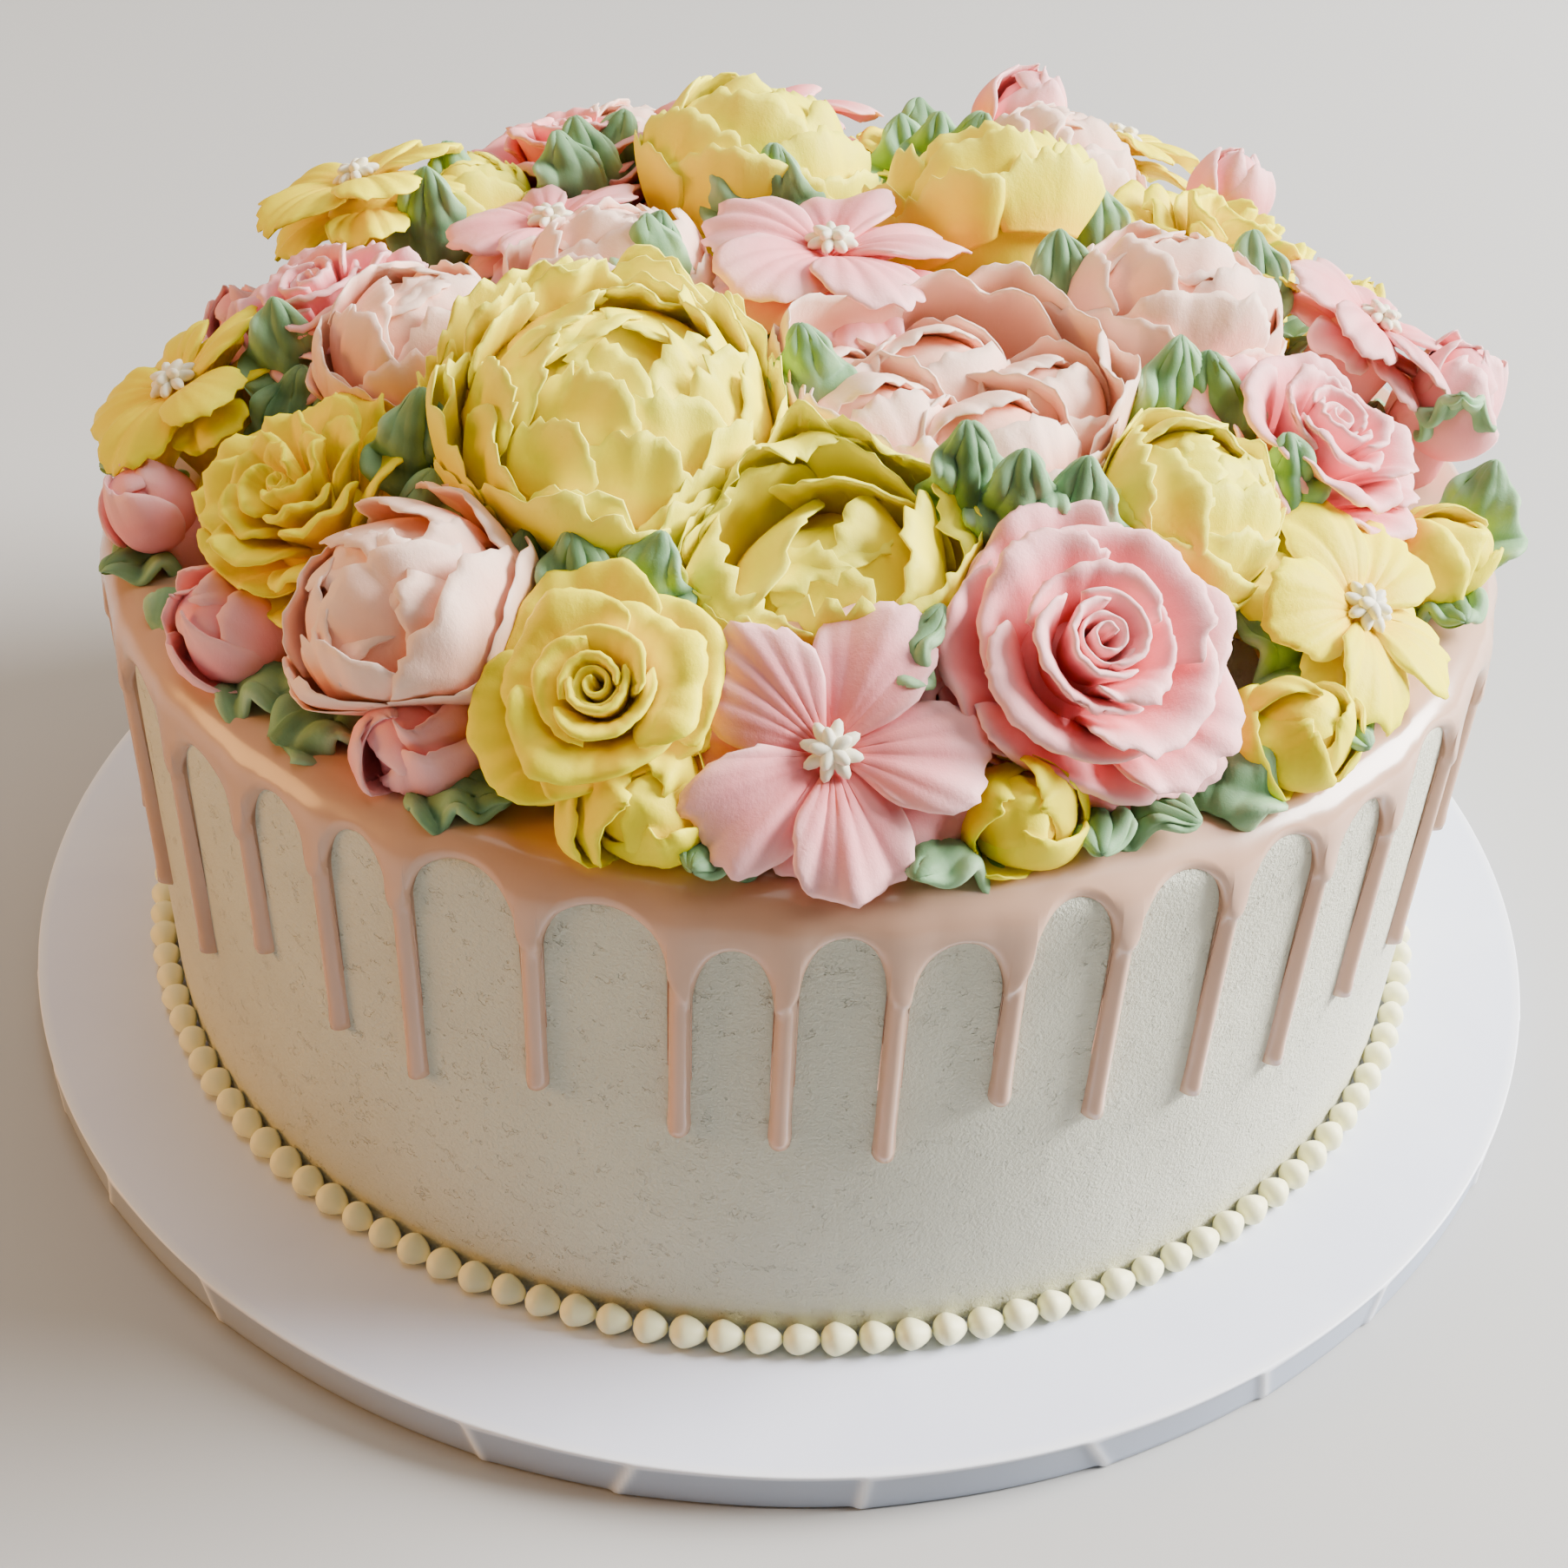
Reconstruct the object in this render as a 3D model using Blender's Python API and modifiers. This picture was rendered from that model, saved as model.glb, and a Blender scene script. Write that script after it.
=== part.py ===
"""Round buttercream cake with a dripping glaze and piped flowers, on its board.

Metres, +Z up. The origin is under the middle of the board, and the front of
the cake faces -Y. Angles are degrees round the cake, counted from +X.
"""
import math

import bmesh
import bpy
import numpy as np

MM = 0.001
GAP = 0.3 * MM

# Board: a 12 inch round.
BOARD_RADIUS = 152.4 * MM
BOARD_THICKNESS = 9.0 * MM
BOARD_EDGE = 0.7 * MM
BOARD_SIDES = 72

# Cake: a 10 inch round with its coat of buttercream, under a low mound that carries the flowers.
CAKE_RADIUS = 125.0 * MM
CAKE_TOP = 103.0 * MM
CAKE_SHOULDER = 4.0 * MM
CAKE_SIDES = 48
MOUND_RADIUS = 108.0 * MM
MOUND_HEIGHT = 21.0 * MM
MOUND_POWER = 4

# Glaze: a film over the rim of the cake that runs down in drips.
GLAZE_TOP = 105.0 * MM
GLAZE_RADIUS = 126.5 * MM
GLAZE_SHOULDER = 5.0 * MM
GLAZE_INNER_RADIUS = MOUND_RADIUS + 1.0 * MM
DRIP_HALF_WIDTH = 1.8 * MM
DRIP_PROUD = 2.3 * MM
DRIP_FLARE = 2.6 * MM
DRIP_ROUNDING = 1.6 * MM
ARCH_TOP = 98.0 * MM
ARCH_FOOT = 92.0 * MM
# The drips at the front: angle in degrees, and the height of the tip in millimetres.
FRONT_DRIPS = (
    (197, 50), (208, 47), (219, 50), (229, 61), (237, 55), (244, 53), (254, 60), (264, 56),
    (271, 55), (278.5, 52), (286.5, 62), (294, 54), (303, 51), (312, 47), (321, 52), (333, 47),
    (344, 52),
)
BACK_DRIP_COUNT = 20
BACK_DRIP_LOWEST = 47.0
BACK_DRIP_HIGHEST = 66.0
DRIP_SEED = 11

# Border: piped beads that run into each other, on the board against the cake.
BEAD_COUNT = 128
BEAD_RADIUS = 2.7 * MM
BEAD_NECK_RADIUS = 1.5 * MM
BEAD_CIRCLE = CAKE_RADIUS + GAP + BEAD_RADIUS
BEAD_SECTION_SIDES = 4

# Flowers lean out from the cake's axis, at the front the most.
LEAN_AT_SIDE = 31.0
LEAN_FRONT_EXTRA = 11.0
LEAN_RADIUS = 100.0 * MM
LEAN_POWER = 1.5
LEAN_LIMIT = 47.0
# Where neighbours press on each other, a flower keeps its form out to this share of its room.
FREE_SHARE = 0.87
MIN_ROOM = 1.0 * MM
ROOT_DEPTH = 2.0

# name, kind, colour, angle in degrees, then millimetres: distance from the cake's axis,
# diameter, and height of the flower's heart over the mound.
FLOWERS = (
    ("rose_1", "rose", "pink", 294, 92, 56, 27),
    ("rose_2", "rose", "yellow", 256, 97, 41, 26),
    ("rose_3", "rose", "yellow", 220, 91, 50, 25),
    ("rose_4", "rose", "pink", 189, 77, 43, 26),
    ("rose_5", "rose", "pink", 131, 71, 57, 24),
    ("rose_6", "rose", "yellow", 74, 71, 37, 20),
    ("rose_7", "rose", "yellow", 21, 74, 52, 25),
    ("rose_8", "rose", "pink", 336, 83, 50, 25),
    ("rose_9", "rose", "yellow", 82, 101, 33, 18),
    ("blossom_1", "blossom", "pink", 273, 99, 50, 13),
    ("blossom_2", "blossom", "yellow", 194, 98, 41, 22),
    ("blossom_3", "blossom", "pink", 287, 9, 50, 27),
    ("blossom_4", "blossom", "yellow", 159, 83, 44, 26),
    ("blossom_5", "blossom", "pink", 98, 76, 52, 22),
    ("blossom_6", "blossom", "pink", 160, 48, 39, 18),
    ("blossom_7", "blossom", "yellow", 53, 94, 37, 26),
    ("blossom_8", "blossom", "pink", 7, 94, 40, 22),
    ("blossom_9", "blossom", "yellow", 323, 101, 43, 16),
    ("blossom_10", "blossom", "pink", 138, 103, 36, 14),
    ("peony_1", "peony", "peach", 237, 95, 44, 17),
    ("peony_2", "peony", "peach", 204, 64, 40, 17),
    ("peony_3", "peony", "peach", 192, 32, 43, 16),
    ("peony_4", "peony", "pale yellow", 150, 72, 32, 14),
    ("peony_5", "peony", "pale yellow", 105, 47, 50, 18),
    ("peony_6", "peony", "peach", 52, 74, 39, 17),
    ("peony_7", "peony", "peach", 353, 58, 44, 18),
    ("peony_8", "peony", "pale yellow", 316, 78, 36, 15),
    ("peony_9", "peony", "peach", 112, 103, 36, 14),
    ("open_peony_1", "open peony", "pale yellow", 274, 73, 55, 16),
    ("open_peony_2", "open peony", "peach", 297, 45, 68, 18),
    ("ruffled_peony_1", "ruffled peony", "pale yellow", 244, 59, 68, 18),
    ("ruffled_peony_2", "ruffled peony", "pale yellow", 37, 37, 49, 17),
    ("bud_1", "bud", "yellow", 287, 109, 19, 8),
    ("bud_2", "bud", "yellow", 260, 108, 21, 9),
    ("bud_3", "bud", "pink", 241, 107, 19, 9),
    ("bud_4", "bud", "pink", 220, 109, 20, 9),
    ("bud_5", "bud", "pink", 202, 109, 15, 13),
    ("bud_6", "bud", "pink", 65, 92, 20, 26),
    ("bud_7", "bud", "pink", 38, 95, 16, 25),
    ("bud_8", "bud", "yellow", 21, 105, 14, 17),
    ("bud_9", "bud", "pink", 4, 108, 22, 18),
    ("bud_10", "bud", "yellow", 340, 107, 17, 14),
    ("bud_11", "bud", "yellow", 311, 110, 19, 9),
    ("bud_12", "bud", "pink", 166, 107, 16, 10),
)

# Leaves, piped as ruffled fans. A fan on a flower's name grows out of that flower and is one
# piece with it; the others stand on the mound and are pieces of their own.
# name, angle in degrees and distance in millimetres of the root, its rise over the mound in
# millimetres, bearing, lift and opening of the fan in degrees, number of leaves, and their
# length in millimetres.
LEAF_FANS = (
    ("leaves_1", 186, 92, 3, 120, 62, 30, 2, 22),
    ("leaves_2", 219, 71, 2, 250, 74, 40, 2, 20),
    ("leaves_3", 166, 64, 3, 250, 80, 30, 1, 22),
    ("leaves_4", 133, 43, 7, 270, 66, 40, 3, 18),
    ("leaves_5", 106, 22, 6, 300, 76, 30, 2, 20),
    ("leaves_6", 253, 82, 6, 250, 66, 40, 3, 18),
    ("leaves_7", 314, 102, 3, 330, 30, 40, 1, 18),
    ("leaves_8", 334, 64, 2, 300, 66, 30, 2, 20),
    ("leaves_9", 297, 70, 4, 290, 66, 50, 3, 19),
    ("leaves_10", 8, 40, 5, 290, 74, 40, 1, 22),
    ("leaves_11", 38, 62, 3, 260, 78, 40, 1, 21),
    ("leaves_12", 67, 57, 4, 260, 62, 50, 3, 19),
    ("bud_5", 202, 109, 0, 205, 8, 110, 2, 20),
    ("bud_4", 220, 109, 0, 262, 8, 50, 1, 22),
    ("bud_3", 241, 107, 0, 243, 6, 120, 2, 22),
    ("bud_2", 260, 108, 0, 303, 12, 50, 1, 22),
    ("bud_1", 287, 109, 0, 287, 6, 120, 2, 23),
    ("bud_11", 311, 110, 0, 311, 8, 110, 2, 21),
    ("bud_10", 340, 107, 0, 345, 20, 80, 2, 23),
    ("bud_9", 4, 108, 0, 345, 12, 50, 1, 21),
    ("bud_6", 65, 92, 0, 165, 25, 50, 1, 20),
    ("peony_3", 192, 32, 0, 10, 30, 40, 1, 27),
    ("blossom_9", 323, 101, 0, 70, 40, 40, 1, 26),
    ("blossom_8", 7, 94, 0, 185, 45, 40, 1, 28),
)
LEAF_ROOT_WIDTH = 5.0 * MM
LEAF_NOTCH_SHARE = 0.68
LEAF_THICKNESS = 2.2 * MM
LEAF_RUFFLE = 1.0 * MM

PETAL_COLOURS = {
    "pink": (0.86, 0.42, 0.44),
    "peach": (0.90, 0.58, 0.48),
    "yellow": (0.88, 0.74, 0.10),
    "pale yellow": (0.87, 0.80, 0.33),
}

# Profiles from the heart down to the edge and in under the flower. Each ring is radius and
# height over the heart as shares of the flower's radius, the depth of the notches between
# petals as a share of the ring's radius, how far the ring dips in a notch, and the share of
# a petal by which the ring is turned.
PROFILES = {
    "rose": (
        (0.13, 0.00, 0.00, 0.00, 0.0),
        (0.27, -0.26, 0.00, 0.00, 0.0),
        (0.42, -0.08, 0.14, 0.10, 0.0),
        (0.50, -0.44, 0.00, 0.00, 0.5),
        (0.76, -0.28, 0.14, 0.10, 0.5),
        (0.68, -0.50, 0.00, 0.00, 0.0),
        (1.00, -0.56, 0.14, 0.04, 0.0),
    ),
    "peony": (
        (0.22, 0.34, 0.10, 0.06, 0.0),
        (0.36, 0.12, 0.00, 0.00, 0.0),
        (0.60, 0.42, 0.12, 0.12, 0.5),
        (0.68, 0.16, 0.00, 0.00, 0.0),
        (0.92, 0.26, 0.08, 0.16, 0.0),
        (1.00, -0.14, 0.06, 0.00, 0.0),
        (0.76, -0.60, 0.04, 0.00, 0.0),
    ),
    "open peony": (
        (0.24, 0.10, 0.10, 0.10, 0.0),
        (0.36, -0.10, 0.00, 0.00, 0.0),
        (0.58, 0.14, 0.16, 0.16, 0.5),
        (0.66, -0.04, 0.00, 0.00, 0.0),
        (0.88, 0.32, 0.08, 0.16, 0.0),
        (1.00, -0.06, 0.08, 0.00, 0.0),
        (0.76, -0.52, 0.04, 0.00, 0.0),
    ),
    "ruffled peony": (
        (0.26, 0.30, 0.16, 0.06, 0.0),
        (0.32, 0.18, 0.00, 0.00, 0.0),
        (0.56, 0.24, 0.14, 0.08, 0.5),
        (0.66, 0.02, 0.00, 0.00, 0.0),
        (0.90, 0.20, 0.10, 0.16, 0.0),
        (1.00, -0.14, 0.06, 0.00, 0.0),
        (0.76, -0.56, 0.04, 0.00, 0.0),
    ),
    "blossom": (
        (0.20, -0.14, 0.00, 0.00, 0.0),
        (0.58, -0.06, 0.10, 0.12, 0.0),
        (1.00, -0.08, 0.26, 0.08, 0.0),
        (0.92, -0.24, 0.26, 0.04, 0.0),
        (0.56, -0.42, 0.10, 0.00, 0.0),
    ),
    "bud": (
        (0.50, 0.92, 0.20, 0.20, 0.0),
        (1.00, 0.10, 0.08, 0.00, 0.0),
        (0.82, -0.60, 0.00, 0.00, 0.0),
    ),
}
# Height over the heart of the point in the middle, share of the radius at the root,
# number of petals in a ring, and columns of faces for each petal.
HEART_HEIGHTS = {
    "rose": -0.12, "peony": 0.16, "open peony": 0.0, "ruffled peony": 0.30, "blossom": 0.06, "bud": 0.75,
}
ROOT_SHARES = {
    "rose": 0.52, "peony": 0.40, "open peony": 0.40, "ruffled peony": 0.40, "blossom": 0.42, "bud": 0.55,
}
PETAL_COUNTS = {
    "rose": 6, "peony": 6, "open peony": 6, "ruffled peony": 6, "blossom": 5, "bud": 3,
}
PETAL_COLUMNS = {
    "rose": 2, "peony": 2, "open peony": 2, "ruffled peony": 2, "blossom": 3, "bud": 2,
}
# Distance of a bloom's middle below its heart, as a share of its radius.
MIDDLE_DROPS = {
    "rose": 0.50, "peony": 0.10, "open peony": 0.10, "ruffled peony": 0.10, "blossom": 0.16, "bud": 0.0,
}


def clear_scene():
    for obj in list(bpy.data.objects):
        bpy.data.objects.remove(obj, do_unlink=True)


def make_material(name, colour, roughness):
    material = bpy.data.materials.new(name)
    material.use_nodes = True
    shader = material.node_tree.nodes["Principled BSDF"]
    shader.inputs["Base Color"].default_value = (*colour, 1.0)
    shader.inputs["Roughness"].default_value = roughness
    shader.inputs["Metallic"].default_value = 0.0
    return material


def add_object(name, mesh, collection, material):
    mesh.materials.clear()
    mesh.materials.append(material)
    mesh.shade_smooth()
    mesh.set_sharp_from_angle(angle=math.radians(35))
    obj = bpy.data.objects.new(name, mesh)
    collection.objects.link(obj)
    return obj


def turned_object(name, profile, sides, collection, material):
    """Turn a profile of (radius, height) points, listed from top to bottom, about the Z axis."""
    mesh = bpy.data.meshes.new(name)
    points = [(radius, 0.0, height) for radius, height in profile]
    mesh.from_pydata(points, [(i, i + 1) for i in range(len(points) - 1)], [])
    obj = bpy.data.objects.new(name, mesh)
    collection.objects.link(obj)
    mesh.materials.append(material)
    screw = obj.modifiers.new("Turn", "SCREW")
    screw.axis = "Z"
    screw.angle = 2.0 * math.pi
    screw.steps = sides
    screw.render_steps = sides
    screw.use_merge_vertices = True
    screw.merge_threshold = 0.0001
    screw.use_smooth_shade = False
    return obj


def loft_mesh(name, rings, top=None, bottom=None, closed_rows=False, split_alike=False):
    """Join rings of points, each a closed loop, into one skin of triangles.

    Without closed_rows the ends are shut by the points top and bottom. With it the
    last ring joins the first, as in a wreath. With split_alike the second half of each
    ring, the lower face of a blade, is cut along the same diagonals as the first.
    """
    mesh_builder = bmesh.new()
    rows = [[mesh_builder.verts.new(point) for point in ring] for ring in rings]
    columns = len(rows[0])
    row_pairs = list(zip(rows, rows[1:]))
    if closed_rows:
        row_pairs.append((rows[-1], rows[0]))
    for upper, lower in row_pairs:
        for i in range(columns):
            k = (i + 1) % columns
            if split_alike and i >= columns // 2:
                mesh_builder.faces.new((upper[i], lower[i], upper[k]))
                mesh_builder.faces.new((lower[i], lower[k], upper[k]))
            else:
                mesh_builder.faces.new((upper[i], lower[i], lower[k]))
                mesh_builder.faces.new((upper[i], lower[k], upper[k]))
    if not closed_rows:
        cap = mesh_builder.verts.new(top)
        base = mesh_builder.verts.new(bottom)
        for i in range(columns):
            k = (i + 1) % columns
            mesh_builder.faces.new((cap, rows[0][i], rows[0][k]))
            mesh_builder.faces.new((base, rows[-1][k], rows[-1][i]))
    if mesh_builder.calc_volume(signed=True) < 0.0:
        bmesh.ops.reverse_faces(mesh_builder, faces=mesh_builder.faces[:])
    mesh = bpy.data.meshes.new(name)
    mesh_builder.to_mesh(mesh)
    mesh_builder.free()
    return mesh


def polar(angle, radius, height=0.0):
    turn = math.radians(angle)
    return np.array((radius * math.cos(turn), radius * math.sin(turn), height))


def unit(vector):
    return vector / np.linalg.norm(vector)


def mound_height(radius):
    if radius >= MOUND_RADIUS:
        return GLAZE_TOP
    return CAKE_TOP + MOUND_HEIGHT * (1.0 - (radius / MOUND_RADIUS) ** MOUND_POWER)


def mound_normal(angle, radius):
    """The direction square to the mound at a distance from the axis, at most at its foot."""
    inner = min(radius, MOUND_RADIUS - 2.0 * MM)
    slope = MOUND_POWER * MOUND_HEIGHT * inner ** (MOUND_POWER - 1) / MOUND_RADIUS ** MOUND_POWER
    return unit(polar(angle, slope, 1.0))


def lean_axis(angle, radius):
    side = LEAN_AT_SIDE - LEAN_FRONT_EXTRA * math.sin(math.radians(angle))
    lean = min(LEAN_LIMIT, side * (radius / LEAN_RADIUS) ** LEAN_POWER)
    return polar(angle, math.sin(math.radians(lean)), math.cos(math.radians(lean)))


def build_board(collection, material):
    profile = (
        (0.0, BOARD_THICKNESS),
        (BOARD_RADIUS - BOARD_EDGE, BOARD_THICKNESS),
        (BOARD_RADIUS, BOARD_THICKNESS - BOARD_EDGE),
        (BOARD_RADIUS, 0.0),
        (0.0, 0.0),
    )
    turned_object("board", profile, BOARD_SIDES, collection, material)


def build_cake(collection, material):
    mound_radii = (0.0, 0.45 * MOUND_RADIUS, 0.78 * MOUND_RADIUS, MOUND_RADIUS)
    profile = [
        (radius, CAKE_TOP + MOUND_HEIGHT * (1.0 - (radius / MOUND_RADIUS) ** MOUND_POWER))
        for radius in mound_radii
    ]
    profile += [
        (CAKE_RADIUS - CAKE_SHOULDER, CAKE_TOP),
        (CAKE_RADIUS, CAKE_TOP - CAKE_SHOULDER),
        (CAKE_RADIUS, BOARD_THICKNESS + GAP),
        (0.0, BOARD_THICKNESS + GAP),
    ]
    turned_object("iced_cake", profile, CAKE_SIDES, collection, material)


def drip_list():
    """Angles and tip heights of all the drips, the unseen ones at the back by a seeded rule."""
    rng = np.random.default_rng(DRIP_SEED)
    drips = [(angle, tip * MM) for angle, tip in FRONT_DRIPS]
    first = FRONT_DRIPS[-1][0]
    last = FRONT_DRIPS[0][0] + 360.0
    step = (last - first) / (BACK_DRIP_COUNT + 1)
    for i in range(BACK_DRIP_COUNT):
        angle = first + step * (i + 1 + rng.uniform(-0.18, 0.18))
        drips.append((angle, rng.uniform(BACK_DRIP_LOWEST, BACK_DRIP_HIGHEST) * MM))
    return drips


def glaze_section(angle, proud, low):
    """One cut through the glaze, a closed loop from its inner edge over the rim and back."""
    wall = CAKE_RADIUS + GAP
    loop = (
        (GLAZE_INNER_RADIUS, CAKE_TOP + 2.0 * GAP),
        (GLAZE_RADIUS - GLAZE_SHOULDER, GLAZE_TOP),
        (GLAZE_RADIUS + 0.3 * proud, GLAZE_TOP - GLAZE_SHOULDER),
        (wall + 0.6 * MM + proud, low + DRIP_ROUNDING),
        (wall, low),
        (wall, CAKE_TOP - CAKE_SHOULDER + 0.4 * GAP),
        (CAKE_RADIUS - CAKE_SHOULDER + 0.4 * GAP, CAKE_TOP + GAP),
    )
    return [polar(angle, radius, height) for radius, height in loop]


def build_glaze(collection, material):
    half_width = math.degrees(DRIP_HALF_WIDTH / CAKE_RADIUS)
    flare = math.degrees(DRIP_FLARE / CAKE_RADIUS)
    drips = drip_list()
    sections = []
    for i, (angle, tip) in enumerate(drips):
        following = drips[(i + 1) % len(drips)][0] + (360.0 if i + 1 == len(drips) else 0.0)
        sections.append(glaze_section(angle - flare, 0.5 * MM, ARCH_FOOT))
        sections.append(glaze_section(angle - half_width, 0.2 * MM, tip + 1.2 * MM))
        sections.append(glaze_section(angle, DRIP_PROUD, tip))
        sections.append(glaze_section(angle + half_width, 0.2 * MM, tip + 1.2 * MM))
        sections.append(glaze_section(angle + flare, 0.5 * MM, ARCH_FOOT))
        sections.append(glaze_section(0.5 * (angle + following), 0.5 * MM, ARCH_TOP))
    add_object("drip_glaze", loft_mesh("drip_glaze", sections, closed_rows=True), collection, material)


def build_beads(collection, material):
    """A wreath of beads: its section swells at each bead and narrows between them."""
    sections = []
    foot = BOARD_THICKNESS + GAP
    for i in range(2 * BEAD_COUNT):
        radius = BEAD_RADIUS if i % 2 == 0 else BEAD_NECK_RADIUS
        angle = 180.0 * i / BEAD_COUNT
        section = []
        for k in range(BEAD_SECTION_SIDES):
            turn = 2.0 * math.pi * (k + 0.5) / BEAD_SECTION_SIDES
            reach = radius * math.sqrt(2.0) * math.cos(turn)
            height = radius * (1.0 + math.sqrt(2.0) * math.sin(turn))
            section.append(polar(angle, BEAD_CIRCLE + reach, foot + height))
        sections.append(section)
    add_object("bead_border", loft_mesh("bead_border", sections, closed_rows=True), collection, material)


def petal_notch(column, columns, count, turn_share):
    """How deep a column lies between two petals: 1 in a notch, 0 in the middle of a petal."""
    phase = column * count / columns + turn_share
    return abs(math.cos(math.pi * phase)) ** 4


def bloom_points(kind, radius, heart, axis, root):
    """Rings of points of one flower, from its heart to its root on the mound, and both ends."""
    side = unit(np.cross(axis, (0.31, -0.95, 0.05)))
    across = np.cross(axis, side)
    count = PETAL_COUNTS[kind]
    columns = count * PETAL_COLUMNS[kind]
    rings = []
    for share, height, notch_depth, dip, turn_share in PROFILES[kind]:
        ring = []
        for i in range(columns):
            notch = petal_notch(i, columns, count, turn_share)
            turn = 2.0 * math.pi * i / columns
            reach = radius * share * (1.0 - notch_depth * notch)
            rise = radius * (height - dip * notch)
            ring.append(heart + reach * (math.cos(turn) * side + math.sin(turn) * across) + rise * axis)
        rings.append(ring)
    foot = []
    for i in range(columns):
        turn = 2.0 * math.pi * i / columns
        foot.append(root + ROOT_SHARES[kind] * radius * (math.cos(turn) * side + math.sin(turn) * across))
    rings.append(foot)
    return rings, heart + HEART_HEIGHTS[kind] * radius * axis, root


def fan_columns(root, bearing, lift, opening, count, length):
    """Root, fold and edge points of a ruffled fan, column by column, and its upward direction.

    The columns run in turn to a notch and to the tip of a leaf, and fold up and down.
    """
    turn = math.radians(lift)
    side = polar(bearing + 90.0, 1.0)
    along = math.cos(turn) * polar(bearing, 1.0) + math.sin(turn) * np.array((0.0, 0.0, 1.0))
    upper = np.cross(along, side)
    columns = []
    for i in range(2 * count + 1):
        is_tip = i % 2 == 1
        share = 0.5 * i / count - 0.5
        swing = math.radians(share * opening)
        heading = math.cos(swing) * along + math.sin(swing) * side
        reach = length if is_tip else LEAF_NOTCH_SHARE * length
        start = root + share * count * LEAF_ROOT_WIDTH * side
        fold = (-LEAF_RUFFLE if is_tip else LEAF_RUFFLE) * upper
        columns.append([start, start + 0.55 * reach * heading + fold, start + reach * heading])
    return columns, upper


class Item:
    """One flower or one fan of leaves, with the room that it needs about its middle."""

    def __init__(self, node, middle, radius, base, angle, distance):
        self.node = node
        self.middle = middle
        self.radius = radius
        self.base = base
        self.angle = angle
        self.distance = distance
        self.inset = 0.0
        self.walls = []

    def add_wall(self, normal, distance):
        self.walls.append(normal / max(distance - self.inset, MIN_ROOM))

    def pressed(self, points):
        """Draw points in towards the middle so that all of them stay within the walls."""
        offsets = np.array(points) - self.middle
        share = np.max(offsets @ np.array(self.walls).T, axis=1)
        room = 1.0 - FREE_SHARE
        over = np.maximum(share - FREE_SHARE, 0.0)
        kept = np.where(share > FREE_SHARE, FREE_SHARE + room * (1.0 - np.exp(-over / room)), share)
        scale = np.where(share > FREE_SHARE, kept / np.maximum(share, FREE_SHARE), 1.0)
        return self.middle + offsets * scale[:, None]


def flower_item(name, kind, angle, distance, diameter, heart_height):
    base = polar(angle, distance * MM, mound_height(distance * MM))
    axis = lean_axis(angle, distance * MM)
    radius = 0.5 * diameter * MM
    heart = base + heart_height * MM * axis
    item = Item(name, heart - MIDDLE_DROPS[kind] * radius * axis, radius, base, angle, distance * MM)
    root = item.middle - ROOT_DEPTH * (item.middle - base)
    item.bloom = bloom_points(kind, radius, heart, axis, root)
    return item


def fan_item(name, angle, distance, rise, bearing, lift, opening, count, length, parent):
    if parent is None:
        base = polar(angle, distance * MM, mound_height(distance * MM))
        root = base + np.array((0.0, 0.0, rise * MM))
    else:
        base = parent.base
        root = parent.base + 0.45 * (parent.middle - parent.base)
    columns, upper = fan_columns(root, bearing, lift, opening, count, length * MM)
    middle = np.mean([point for column in columns for point in column], axis=0)
    radius = (0.20 + 0.11 * count) * length * MM
    item = Item(name, middle, radius, base, angle, distance * MM)
    item.inset = 0.5 * LEAF_THICKNESS
    item.fan = columns
    item.half_thickness = 0.5 * LEAF_THICKNESS * upper
    return item


def add_walls(items):
    """Give each item its share of the room: over the mound and glaze, and beside its neighbours."""
    for item in items:
        normal = mound_normal(item.angle, item.distance)
        foot = polar(item.angle, min(item.distance, MOUND_RADIUS))
        foot[2] = CAKE_TOP + MOUND_HEIGHT * (1.0 - (np.hypot(foot[0], foot[1]) / MOUND_RADIUS) ** MOUND_POWER)
        item.add_wall(-normal, float((item.middle - foot) @ normal) - GAP)
        item.add_wall(np.array((0.0, 0.0, -1.0)), item.middle[2] - GLAZE_TOP - GAP)
    for i, one in enumerate(items):
        for other in items[i + 1:]:
            between = other.middle - one.middle
            span = np.linalg.norm(between)
            if one.node == other.node or span > 2.4 * (one.radius + other.radius):
                continue
            share = one.radius / (one.radius + other.radius)
            one.add_wall(between / span, share * span - 0.5 * GAP)
            other.add_wall(-between / span, (1.0 - share) * span - 0.5 * GAP)


def bloom_mesh(item):
    rings, top, bottom = item.bloom
    columns = len(rings[0])
    points = item.pressed([point for ring in rings for point in ring] + [top, bottom])
    pressed_rings = [points[i * columns:(i + 1) * columns] for i in range(len(rings))]
    return loft_mesh(item.node, pressed_rings, points[-2], points[-1])


def fan_mesh(item):
    """Give the sheet of a fan its thickness, most at the fold and none at the edge."""
    points = item.pressed([point for column in item.fan for point in column])
    columns = points.reshape(len(item.fan), 3, 3)
    half = item.half_thickness
    sections = []
    for root, fold, edge in columns:
        sections.append([root + half, fold + half, edge, fold - half, root - half])
    return loft_mesh(item.node, sections, columns[0][1], columns[-1][1], split_alike=True)


def join_by_union(obj, extra, cutters):
    """Join one more closed mesh to an object by a union and remove the helper."""
    helper = bpy.data.objects.new("fan", extra)
    cutters.objects.link(helper)
    union = obj.modifiers.new("Union", "BOOLEAN")
    union.operation = "UNION"
    union.operand_type = "COLLECTION"
    union.collection = cutters
    union.solver = "EXACT"
    graph = bpy.context.evaluated_depsgraph_get()
    joined = bpy.data.meshes.new_from_object(obj.evaluated_get(graph))
    obj.modifiers.clear()
    obj.data = joined
    bpy.data.objects.remove(helper, do_unlink=True)


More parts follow.
